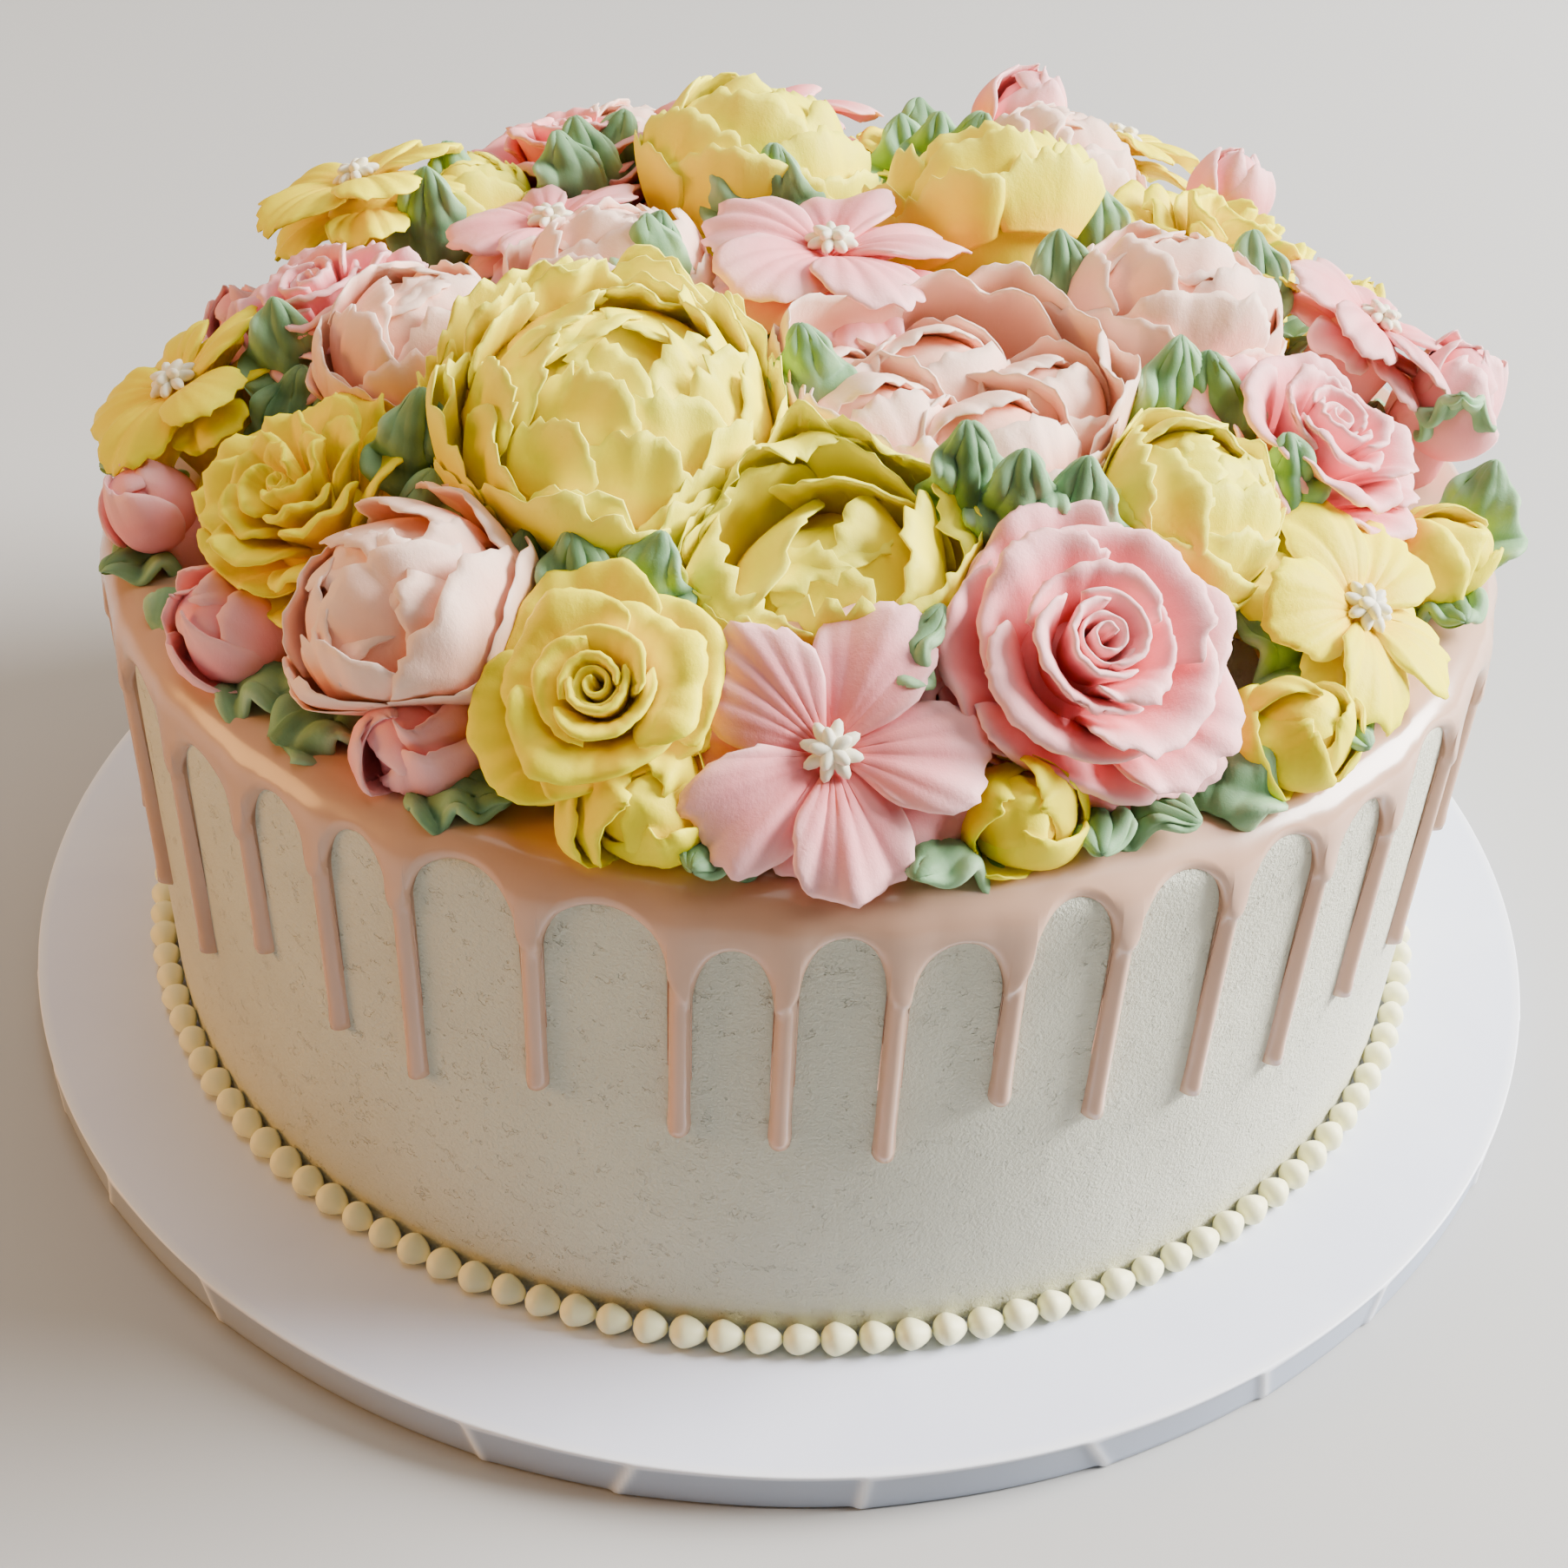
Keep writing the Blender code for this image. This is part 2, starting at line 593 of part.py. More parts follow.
def build_flowers(collection, cutters, petal_materials, leaf_material):
    flowers = {}
    colours = {}
    for name, kind, colour, angle, distance, diameter, heart_height in FLOWERS:
        flowers[name] = flower_item(name, kind, angle, distance, diameter, heart_height)
        colours[name] = petal_materials[colour]
    fans = [fan_item(*row, parent=flowers.get(row[0])) for row in LEAF_FANS]
    add_walls(list(flowers.values()) + fans)
    objects = {}
    for name, item in flowers.items():
        objects[name] = add_object(name, bloom_mesh(item), collection, colours[name])
    for item in fans:
        if item.node in objects:
            join_by_union(objects[item.node], fan_mesh(item), cutters)
        else:
            add_object(item.node, fan_mesh(item), collection, leaf_material)


def main():
    clear_scene()
    collection = bpy.data.collections.new("flower_cake")
    cutters = bpy.data.collections.new("helpers")
    bpy.context.scene.collection.children.link(collection)
    bpy.context.scene.collection.children.link(cutters)
    build_board(collection, make_material("board_white", (0.80, 0.82, 0.87), 0.45))
    build_cake(collection, make_material("icing_ivory", (0.72, 0.70, 0.63), 0.65))
    build_glaze(collection, make_material("glaze_peach", (0.74, 0.46, 0.36), 0.30))
    build_beads(collection, make_material("bead_cream", (0.86, 0.83, 0.62), 0.50))
    petal_materials = {
        colour: make_material("petal_" + colour.replace(" ", "_"), value, 0.60)
        for colour, value in PETAL_COLOURS.items()
    }
    leaf_material = make_material("leaf_sage", (0.26, 0.42, 0.27), 0.60)
    build_flowers(collection, cutters, petal_materials, leaf_material)


main()
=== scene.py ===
import math
from collections import namedtuple

import bpy
import numpy as np
from mathutils import Matrix, Vector


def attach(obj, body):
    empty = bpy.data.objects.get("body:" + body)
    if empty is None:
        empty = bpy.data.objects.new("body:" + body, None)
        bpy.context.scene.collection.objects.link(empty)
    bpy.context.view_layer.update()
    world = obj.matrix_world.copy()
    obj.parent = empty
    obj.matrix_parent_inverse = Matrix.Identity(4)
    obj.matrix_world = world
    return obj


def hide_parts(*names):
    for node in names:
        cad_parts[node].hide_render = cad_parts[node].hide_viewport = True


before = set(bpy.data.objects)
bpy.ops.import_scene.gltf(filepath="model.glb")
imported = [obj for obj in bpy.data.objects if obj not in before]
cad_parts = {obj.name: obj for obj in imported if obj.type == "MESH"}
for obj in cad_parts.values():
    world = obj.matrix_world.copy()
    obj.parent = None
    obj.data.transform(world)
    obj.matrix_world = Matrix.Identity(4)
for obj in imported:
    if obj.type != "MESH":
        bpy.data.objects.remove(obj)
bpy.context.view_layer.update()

MM = 0.001
FULL_TURN = 2.0 * math.pi

# Camera, at the photograph's viewing angle: place in metres, angles in degrees, lens in millimetres.
CAMERA_PLACE = (0.0, -0.3503, 0.302)
CAMERA_YAW = -0.142
CAMERA_PITCH = 38.025
CAMERA_ROLL = 2.696
CAMERA_LENS = 49.27

# Cake and board, as in the solids.
BOARD_RADIUS = 152.4 * MM
BOARD_THICKNESS = 9.0 * MM
BOARD_EDGE = 0.6 * MM
BOARD_COLUMNS = 1500
PLEAT_COUNT = 26
PLEAT_DEPTH = 0.6 * MM
PLEAT_SEED = 21
CAKE_RADIUS = 125.0 * MM
CAKE_TOP = 103.0 * MM
CAKE_SHOULDER = 4.0 * MM
CAKE_FOOT = BOARD_THICKNESS + 0.3 * MM
CAKE_COLUMNS = 300
SMOOTHING_RELIEF = 0.22 * MM
SMOOTHING_SEED = 3
MOUND_RADIUS = 108.0 * MM
MOUND_HEIGHT = 21.0 * MM
MOUND_POWER = 4

# Glaze: a soft band over the rim, from which the drips run down. It is flat on the top, bends over
# the rim and ends in a rounded lip, which sinks a little into the icing.
GLAZE_TOP = 105.0 * MM
GLAZE_INNER_RADIUS = 108.6 * MM
GLAZE_FILM = 1.5 * MM
GLAZE_CORNER = 7.5 * MM
GLAZE_FLAT = CAKE_RADIUS + GLAZE_FILM - GLAZE_CORNER - GLAZE_INNER_RADIUS
GLAZE_BEND = 0.5 * math.pi * GLAZE_CORNER
GLAZE_LIP = 2.4 * MM
GLAZE_SINK = 0.4 * MM
GLAZE_ROOT = 1.2 * MM
EDGE_OPENNESS = 0.30
RIM_STEPS = 14
LIP_STEPS = 12
DRIP_STEPS = 22
ACROSS_DRIP = 15
ACROSS_ARCH = 23

# Drips, between which the lip of the glaze rises in arches.
ARCH_DEPTH = 11.5 * MM
DRIP_HALF_WIDTH = 1.75 * MM
DRIP_PROUD = 2.5 * MM
# The drips in front: angle in degrees, then height of the tip and of the arch after it in millimetres.
FRONT_DRIPS = (
    (196.0, 41.0, 97.5), (207.0, 42.0, 97.5), (218.0, 44.5, 95.5), (228.0, 60.5, 98.7),
    (236.0, 54.5, 99.8), (243.3, 52.5, 101.8), (253.2, 60.0, 100.5), (263.5, 56.0, 95.2),
    (270.6, 55.0, 98.6), (278.0, 52.0, 96.5), (286.0, 62.0, 101.8), (293.6, 54.0, 101.8),
    (302.3, 51.0, 101.0), (311.2, 47.0, 98.8), (319.7, 51.0, 101.0), (330.0, 47.0, 98.5),
    (340.0, 58.0, 99.0),
)
# The drips behind follow by a rule, within these heights in millimetres.
BACK_DRIP_COUNT = 20
BACK_TIPS = (47.0, 66.0)
BACK_ARCHES = (95.5, 101.5)
DRIP_SEED = 11

# Border of piped beads, each of which touches the foot of the cake.
BEAD_COUNT = 128
BEAD_RADIUS = 2.75 * MM
BEAD_CIRCLE = CAKE_RADIUS + 2.6 * MM
BEAD_SEED = 4

# White star of short prongs in the middle of a blossom. Its tiers from the outside: number of
# prongs, then how far out and how high they sit, and their tilt in radians.
PRONG_LENGTH = 2.3 * MM
PRONG_WIDTH = 1.05 * MM
STAR_TIERS = ((8, 2.4 * MM, 0.6 * MM, 0.10), (5, 1.1 * MM, 1.7 * MM, -0.35))
STAR_SEED = 2

# Flowers lean out from the cake's axis, at the front the most.
LEAN_AT_SIDE = 31.0
LEAN_FRONT_EXTRA = 11.0
LEAN_RADIUS = 100.0 * MM
LEAN_POWER = 1.5
LEAN_LIMIT = 47.0
# Neighbours press softly on each other: the share of its room that a flower fills freely.
FREE_SHARE = 0.80
MIN_ROOM = 2.0 * MM

# name, form, colour, angle in degrees, then millimetres: distance from the cake's axis, diameter
# and height of the heart over the mound; last the turn of the petals in degrees.
FLOWERS = (
    ("rose_1", "full rose", "pink", 294, 92, 54, 27, 20),
    ("rose_2", "smooth rose", "yellow", 256, 97, 40, 26, 100),
    ("rose_3", "loose rose", "yellow", 220, 91, 48, 25, 60),
    ("rose_4", "full rose", "pink", 189, 77, 42, 26, 0),
    ("rose_5", "full rose", "rose pink", 131, 71, 54, 24, 40),
    ("rose_6", "smooth rose", "yellow", 74, 71, 36, 20, 10),
    ("rose_7", "loose rose", "yellow", 21, 74, 50, 25, 150),
    ("rose_8", "full rose", "pink", 336, 83, 48, 25, 75),
    ("rose_9", "smooth rose", "yellow", 82, 101, 33, 18, 0),
    ("blossom_1", "blossom", "pink", 273, 100, 48, 17, 0),
    ("blossom_2", "blossom", "yellow", 194, 98, 40, 22, 30),
    ("blossom_3", "blossom", "pink", 287, 9, 48, 27, 85),
    ("blossom_4", "blossom", "yellow", 159, 83, 43, 26, 10),
    ("blossom_5", "blossom", "rose pink", 98, 76, 50, 22, 15),
    ("blossom_6", "blossom", "pink", 160, 48, 38, 18, 50),
    ("blossom_7", "blossom", "yellow", 53, 94, 36, 26, 0),
    ("blossom_8", "blossom", "pink", 7, 94, 39, 22, 100),
    ("blossom_9", "blossom", "yellow", 323, 101, 42, 16, 55),
    ("blossom_10", "blossom", "pink", 138, 103, 35, 14, 0),
    ("peony_1", "closed peony", "peach", 237, 95, 43, 17, 150),
    ("peony_2", "closed peony", "peach", 204, 64, 39, 17, 30),
    ("peony_3", "closed peony", "peach", 192, 32, 42, 16, 80),
    ("peony_4", "closed peony", "pale yellow", 150, 72, 32, 14, 0),
    ("peony_5", "closed peony", "pale yellow", 105, 47, 48, 18, 60),
    ("peony_6", "closed peony", "peach", 52, 74, 38, 17, 20),
    ("peony_7", "closed peony", "peach", 353, 58, 43, 18, 100),
    ("peony_8", "closed peony", "pale yellow", 316, 78, 35, 15, 10),
    ("peony_9", "closed peony", "peach", 112, 103, 35, 14, 0),
    ("open_peony_1", "cup peony", "pale yellow", 274, 73, 53, 16, 40),
    ("open_peony_2", "puff peony", "peach", 297, 45, 65, 18, 15),
    ("ruffled_peony_1", "ruffled peony", "pale yellow", 244, 59, 65, 18, 0),
    ("ruffled_peony_2", "scaled peony", "pale yellow", 37, 37, 47, 17, 110),
    ("bud_1", "scoop bud", "yellow", 287, 109, 19, 8, 200),
    ("bud_2", "scoop bud", "yellow", 260, 108, 22, 9, 330),
    ("bud_3", "round bud", "pink", 241, 107, 20, 9, 20),
    ("bud_4", "tulip bud", "pink", 220, 109, 21, 9, 60),
    ("bud_5", "round bud", "pink", 202, 109, 15, 13, 100),
    ("bud_6", "round bud", "pink", 65, 92, 20, 26, 0),
    ("bud_7", "tulip bud", "pink", 38, 95, 16, 25, 30),
    ("bud_8", "tulip bud", "yellow", 21, 105, 14, 17, 0),
    ("bud_9", "round bud", "pink", 4, 108, 22, 18, 200),
    ("bud_10", "scoop bud", "yellow", 340, 107, 17, 14, 0),
    ("bud_11", "scoop bud", "yellow", 311, 110, 19, 9, 150),
    ("bud_12", "round bud", "pink", 166, 107, 16, 10, 0),
)

# Leaves: piece, angle in degrees and distance in millimetres of the leaf's middle from the
# cake's axis, its height over the mound, bearing and lift of its tip in degrees, and length.
LEAVES = (
    ("leaves_1", 198, 91, 22, 95, 68, 19),
    ("leaves_1", 202, 93, 15, 80, 60, 18),
    ("leaves_2", 228, 88, 26, 95, 70, 17),
    ("leaves_2", 232, 93, 20, 80, 62, 16),
    ("leaves_3", 163, 74, 19, 85, 75, 19),
    ("leaves_4", 142, 58, 20, 110, 62, 18),
    ("leaves_4", 136, 61, 20, 90, 72, 18),
    ("leaves_4", 129, 64, 20, 70, 64, 18),
    ("leaves_5", 118, 28, 21, 105, 66, 17),
    ("leaves_5", 106, 25, 22, 75, 76, 17),
    ("leaves_6", 246, 96, 20, 112, 66, 17),
    ("leaves_6", 251, 96, 22, 92, 70, 17),
    ("leaves_6", 256, 94, 22, 75, 66, 17),
    ("leaves_7", 316, 104, 12, 160, 30, 16),
    ("leaves_8", 328, 70, 20, 115, 66, 19),
    ("leaves_8", 331, 76, 19, 80, 68, 19),
    ("leaves_9", 289, 76, 25, 105, 70, 16),
    ("leaves_9", 293, 82, 24, 90, 70, 17),
    ("leaves_9", 299, 84, 23, 72, 64, 17),
    ("leaves_10", 347, 44, 22, 100, 72, 20),
    ("leaves_11", 16, 50, 24, 95, 74, 19),
    ("leaves_12", 74, 62, 18, 110, 66, 17),
    ("leaves_12", 66, 55, 21, 90, 72, 17),
    ("leaves_12", 58, 52, 24, 70, 66, 17),
    ("bud_5_leaves", 203, 119, 3, 215, 6, 17),
    ("bud_5_leaves", 195, 117, 9, 185, 15, 15),
    ("bud_4_leaves", 226, 114, 4, 330, 12, 18),
    ("bud_3_leaves", 232, 115, 4, 40, 12, 17),
    ("bud_3_leaves", 246, 116, 3, 350, 8, 16),
    ("bud_2_leaves", 265, 117, 4, 235, 14, 16),
    ("bud_1_leaves", 281, 118, 4, 235, 14, 18),
    ("bud_1_leaves", 293, 116, 4, 285, 10, 17),
    ("bud_1_leaves", 297, 116, 4, 330, 10, 17),
    ("bud_11_leaves", 305, 115, 6, 60, 25, 19),
    ("bud_11_leaves", 315, 118, 6, 310, 14, 16),
    ("bud_10_leaves", 337, 118, 5, 290, 18, 17),
    ("bud_10_leaves", 346, 119, 12, 60, 55, 19),
    ("bud_9_leaves", 359, 116, 18, 280, 50, 16),
    ("bud_6_leaves", 76, 84, 20, 100, 50, 16),
    ("peony_3_leaf", 215, 32, 26, 100, 55, 18),
    ("peony_3_leaf", 205, 30, 25, 60, 60, 16),
    ("blossom_9_leaf", 326, 93, 22, 100, 60, 15),
    ("blossom_8_leaf", 8, 80, 22, 95, 66, 17),
    ("open_peony_1_leaf", 271, 50, 25, 95, 72, 15),
    ("rose_1_leaf", 279, 99, 22, 20, 40, 15),
    ("blossom_4_leaf", 153, 76, 22, 95, 60, 15),
)
# Rows and columns of points in a leaf.
LEAF_GRID = (33, 25)
LEAF_THICKNESS = 2.0 * MM
LEAF_RIDGE = 0.75 * MM
LEAF_SEED = 500
# Low leaves fill the bare places that no listed flower or leaf covers, mostly at the back. They are
# tried on a spiral over the top, where they keep their spacing and fit under the flowers.
FILL_SPOTS = 700
FILL_TURN = 2.39996
FILL_REACH = 116.0 * MM
FILL_SPACING = 10.5 * MM
FILL_HEADROOM = 13.0 * MM
FILL_LENGTHS = (15.0, 20.0)
FILL_GRID = (21, 17)
FILL_SEED = 8

PetalRow = namedtuple("PetalRow", "count base bend tip span round wave overlap cup", defaults=(0.0, ))
FlakeRow = namedtuple("FlakeRow", "count dome tip length width lift round cup", defaults=(0.0, ))
Cluster = namedtuple("Cluster", "place size rows")
Form = namedtuple("Form", "clusters rolled drop core tilt push ridge pace tooth")

# Rows of petals from the heart outwards. A petal of a PetalRow fans out from the flower's axis:
# it runs from its base by way of the bend to its tip, each given as radius and height over the
# heart in shares of the flower's radius. Span is half its width in degrees, round how much its
# corners fall back, wave the height of its ruffle, overlap how far one side lies outside the
# next petal, and cup how far its sides turn up.
FULL_ROSE = (
    PetalRow(2, (0.09, -0.50), (0.20, 0.02), (0.22, 0.04), 105, 0.16, 0.010, 0.05),
    PetalRow(3, (0.15, -0.60), (0.36, 0.07), (0.43, -0.02), 80, 0.26, 0.030, 0.10),
    PetalRow(4, (0.20, -0.75), (0.54, -0.02), (0.72, -0.16), 62, 0.30, 0.050, 0.12),
    PetalRow(5, (0.28, -0.90), (0.68, -0.20), (0.98, -0.36), 50, 0.32, 0.060, 0.11),
    PetalRow(6, (0.32, -1.00), (0.68, -0.44), (1.03, -0.58), 42, 0.32, 0.060, 0.09),
)
SMOOTH_ROSE = (
    PetalRow(2, (0.09, -0.50), (0.20, 0.00), (0.21, 0.05), 110, 0.12, 0.010, 0.05),
    PetalRow(3, (0.15, -0.60), (0.34, 0.05), (0.44, -0.03), 78, 0.24, 0.020, 0.09),
    PetalRow(3, (0.20, -0.70), (0.52, 0.05), (0.74, -0.18), 74, 0.32, 0.045, 0.12),
    PetalRow(4, (0.30, -0.90), (0.68, -0.18), (1.02, -0.42), 56, 0.36, 0.065, 0.12),
    PetalRow(5, (0.35, -1.00), (0.66, -0.50), (0.98, -0.74), 46, 0.30, 0.050, 0.06),
)
LOOSE_ROSE = (
    PetalRow(3, (0.05, -0.40), (0.20, 0.05), (0.20, 0.09), 64, 0.34, 0.030, 0.12),
    PetalRow(4, (0.10, -0.50), (0.34, 0.06), (0.40, 0.05), 48, 0.42, 0.040, 0.12),
    PetalRow(5, (0.16, -0.60), (0.48, 0.00), (0.62, -0.04), 41, 0.46, 0.050, 0.12),
    PetalRow(5, (0.22, -0.75), (0.60, -0.12), (0.84, -0.18), 42, 0.46, 0.060, 0.12),
    PetalRow(6, (0.28, -0.90), (0.66, -0.34), (1.04, -0.40), 38, 0.46, 0.060, 0.11),
    PetalRow(6, (0.34, -1.00), (0.64, -0.60), (0.99, -0.72), 37, 0.44, 0.055, 0.08),
)
CUP_RIM = (
    PetalRow(4, (0.45, -0.60), (1.24, -0.02), (0.56, 0.24), 60, 0.24, 0.080, 0.12),
    PetalRow(5, (0.48, -0.72), (1.36, -0.20), (0.78, 0.22), 48, 0.26, 0.080, 0.12),
    PetalRow(5, (0.50, -0.85), (1.24, -0.55), (1.12, -0.06), 46, 0.30, 0.060, 0.08),
)
PUFF_RIM = (
    PetalRow(5, (0.45, -0.60), (1.10, -0.05), (0.78, 0.26), 48, 0.26, 0.060, 0.10),
    PetalRow(6, (0.48, -0.72), (1.26, -0.25), (0.94, 0.20), 42, 0.28, 0.060, 0.09),
    PetalRow(6, (0.48, -0.85), (1.20, -0.55), (1.12, -0.06), 42, 0.30, 0.050, 0.06),
)
BLOSSOM = (
    PetalRow(5, (0.03, -0.14), (0.48, 0.16), (1.00, -0.06), 43, 0.52, 0.040, 0.13, -0.06),
    PetalRow(5, (0.10, -0.36), (0.55, -0.10), (0.96, -0.36), 38, 0.50, 0.050, 0.10, -0.04),
)

# A petal of a FlakeRow lies on a dome like a scale, its tip pointing to the dome's top, or past
# it where its angle is below zero. The dome is its radius, its height and the height of its
# middle over the heart. Angles are in degrees: of the tip from the top, of the petal's length,
# and of half its width. Lift is how far the tip stands off, and cup how far its sides do.
BALL = (0.78, 0.64, -0.14)
WIDE_BALL = (0.90, 0.72, -0.16)
CLOSED_PEONY = (
    FlakeRow(1, BALL, -44, 100, 36, 0.08, 0.20),
    FlakeRow(2, BALL, -16, 70, 42, 0.15, 0.26),
    FlakeRow(3, BALL, 8, 66, 46, 0.18, 0.26),
    FlakeRow(4, BALL, 30, 66, 43, 0.21, 0.28),
    FlakeRow(4, WIDE_BALL, 48, 62, 46, 0.15, 0.28),
    FlakeRow(5, WIDE_BALL, 72, 56, 42, 0.18, 0.30),
)
SCALES = (0.84, 0.70, -0.14)
RUFFLED_PEONY = (
    FlakeRow(1, SCALES, -24, 44, 18, 0.06, 0.34),
    FlakeRow(4, SCALES, 2, 32, 19, 0.12, 0.42),
    FlakeRow(7, SCALES, 17, 32, 19, 0.15, 0.42),
    FlakeRow(9, SCALES, 32, 32, 18, 0.17, 0.42),
    FlakeRow(10, SCALES, 47, 32, 19, 0.18, 0.42),
    FlakeRow(6, WIDE_BALL, 50, 50, 36, 0.17, 0.30),
    FlakeRow(7, WIDE_BALL, 72, 48, 32, 0.18, 0.30),
)
SCALED_PEONY = (
    FlakeRow(1, SCALES, -34, 66, 30, 0.06, 0.34),
    FlakeRow(3, SCALES, 0, 46, 30, 0.13, 0.40),
    FlakeRow(5, SCALES, 20, 46, 30, 0.18, 0.40),
    FlakeRow(6, SCALES, 40, 46, 30, 0.22, 0.40),
    FlakeRow(5, WIDE_BALL, 56, 48, 38, 0.20, 0.30),
    FlakeRow(6, WIDE_BALL, 78, 44, 36, 0.22, 0.30),
)
NEST = (0.80, 0.54, 0.0)
NEST_ROWS = (
    FlakeRow(1, NEST, -36, 84, 34, 0.14, 0.26),
    FlakeRow(3, NEST, -4, 62, 36, 0.30, 0.30, 0.10),
    FlakeRow(4, NEST, 18, 60, 38, 0.40, 0.30, 0.12),
    FlakeRow(5, NEST, 42, 58, 38, 0.48, 0.28, 0.10),
)
PUFF = (0.88, 0.86, 0.0)
PUFF_ROWS = (
    FlakeRow(1, PUFF, -60, 130, 58, 0.06, 0.16),
    FlakeRow(2, PUFF, 2, 96, 62, 0.22, 0.22),
    FlakeRow(3, PUFF, 40, 84, 56, 0.34, 0.24),
)
EGG = (0.68, 0.86, -0.05)
TULIP_BUD = (
    FlakeRow(1, EGG, -40, 110, 62, 0.02, 0.20),
    PetalRow(3, (0.30, -0.95), (1.34, -0.20), (0.16, 1.00), 72, 0.50, 0.030, 0.24),
    PetalRow(3, (0.30, -0.95), (1.46, -0.40), (0.60, 0.80), 66, 0.58, 0.040, 0.24),
)
ROUND_BUD = (
    FlakeRow(1, EGG, -50, 130, 66, 0.04, 0.16),
    PetalRow(2, (0.30, -0.95), (1.34, -0.10), (0.06, 0.98), 98, 0.36, 0.050, 0.34),
    PetalRow(3, (0.30, -0.95), (1.50, -0.40), (0.44, 0.84), 78, 0.42, 0.050, 0.32),
)
SCOOP_BUD = (
    FlakeRow(1, EGG, -30, 120, 60, 0.02, 0.16),
    PetalRow(3, (0.30, -0.95), (1.42, -0.10), (0.26, 0.92), 78, 0.44, 0.040, 0.28),
    PetalRow(2, (0.28, -0.98), (1.52, -0.60), (0.92, 0.50), 80, 0.50, 0.060, 0.22),
)


def dome_core(dome):
    """Profile of the core under a dome of petals, a little inside the dome."""
    reach, height, drop = dome
    turns = [math.radians(angle) for angle in (1, 30, 60, 90, 120)]
    return tuple((0.93 * reach * math.sin(turn), drop + 0.93 * height * math.cos(turn)) for turn in turns)


# Form of a flower: its clusters of petals; radius of its rolled heart, or 0; drop of its middle
# below the heart; profile of its core; tilt of its opening in degrees; how far it may push past
# the middle of a gap, in millimetres; depth of the ridges in millimetres and how many cross a
# petal; and depth of the teeth along the edge in shares of the petal's length.
HEART = (0.0, 0.0, 0.0)
ROSE_CORE = ((0.01, -0.30), (0.22, -0.34), (0.34, -0.50), (0.38, -0.70), (0.40, -0.95))
BLOSSOM_CORE = ((0.01, -0.12), (0.30, -0.16), (0.42, -0.26), (0.40, -0.50), (0.38, -0.80))
OPEN_CORE = ((0.01, -0.40), (0.30, -0.42), (0.45, -0.55), (0.45, -0.75), (0.42, -0.95))


def whole(rows):
    return (Cluster(HEART, 1.0, rows), )


FORMS = {
    "full rose": Form(whole(FULL_ROSE), 0.15, 0.50, ROSE_CORE, 0, 1.4, 0.30, 6.0, 0.07),
    "smooth rose": Form(whole(SMOOTH_ROSE), 0.17, 0.50, ROSE_CORE, 0, 1.4, 0.24, 8.0, 0.03),
    "loose rose": Form(whole(LOOSE_ROSE), 0.06, 0.50, ROSE_CORE, 0, 1.4, 0.26, 6.0, 0.05),
    "closed peony": Form(whole(CLOSED_PEONY), 0.0, 0.10, dome_core(BALL), 16, 1.2, 0.30, 5.0, 0.07),
    "ruffled peony": Form(whole(RUFFLED_PEONY), 0.0, 0.10, dome_core(SCALES), 18, 1.2, 0.26, 3.0, 0.14),
    "scaled peony": Form(whole(SCALED_PEONY), 0.0, 0.10, dome_core(SCALES), 55, 1.2, 0.24, 3.0, 0.12),
    "cup peony": Form(whole(CUP_RIM) + (Cluster((0.04, -0.14, -0.46), 0.84, NEST_ROWS), ),
                      0.0, 0.10, OPEN_CORE, 0, -0.2, 0.34, 5.0, 0.08),
    "puff peony": Form(whole(PUFF_RIM) + (
        Cluster((-0.34, -0.26, -0.22), 0.42, PUFF_ROWS), Cluster((0.24, -0.34, -0.20), 0.44, PUFF_ROWS),
        Cluster((0.50, 0.12, -0.24), 0.38, PUFF_ROWS), Cluster((-0.02, 0.24, -0.26), 0.40, PUFF_ROWS),
        Cluster((-0.50, 0.16, -0.30), 0.32, PUFF_ROWS),
    ), 0.0, 0.10, OPEN_CORE, 0, -0.2, 0.28, 6.0, 0.06),
    "blossom": Form(whole(BLOSSOM), 0.0, 0.16, BLOSSOM_CORE, 0, 1.0, 0.36, 6.0, 0.05),
    "tulip bud": Form(whole(TULIP_BUD), 0.0, 0.0, dome_core(EGG), 0, 1.4, 0.24, 4.0, 0.010),
    "round bud": Form(whole(ROUND_BUD), 0.0, 0.0, dome_core(EGG), 12, 1.4, 0.24, 4.0, 0.012),
    "scoop bud": Form(whole(SCOOP_BUD), 0.0, 0.0, dome_core(EGG), 15, 1.4, 0.24, 4.0, 0.015),
}

# Petals: thickness at the base and at the edge; rows of points, with fewer on a petal that is
# small beside its flower; fewest and most columns; and the deepest nick in a torn edge.
PETAL_THICKNESS = (2.4 * MM, 1.0 * MM)
PETAL_ROWS = 15
SMALL_PETAL_ROWS = 11
SMALL_PETAL = 0.30
PETAL_COLUMNS = (19, 43)
PETAL_SPACING = 1.0 * MM
DEGREES_IN_RADIAN = 57.3
EDGE_NICK = 0.9 * MM
NICK_PER_TOOTH = 13.0 * MM
FIRST_PETAL_SEED = 100
# The roll in the heart of a rose, and the mound that carries the petals of a flower.
ROLL_GRID = (9, 61)
ROLL_TURNS = 1.9
ROLL_DEPTH = 0.45
ROLL_THICKNESS = 1.0 * MM
CORE_COLUMNS = 28
# Level of the mound on the scale from painted shade to painted light: a little painted shade under the
# petals.
CORE_TONE = 0.36
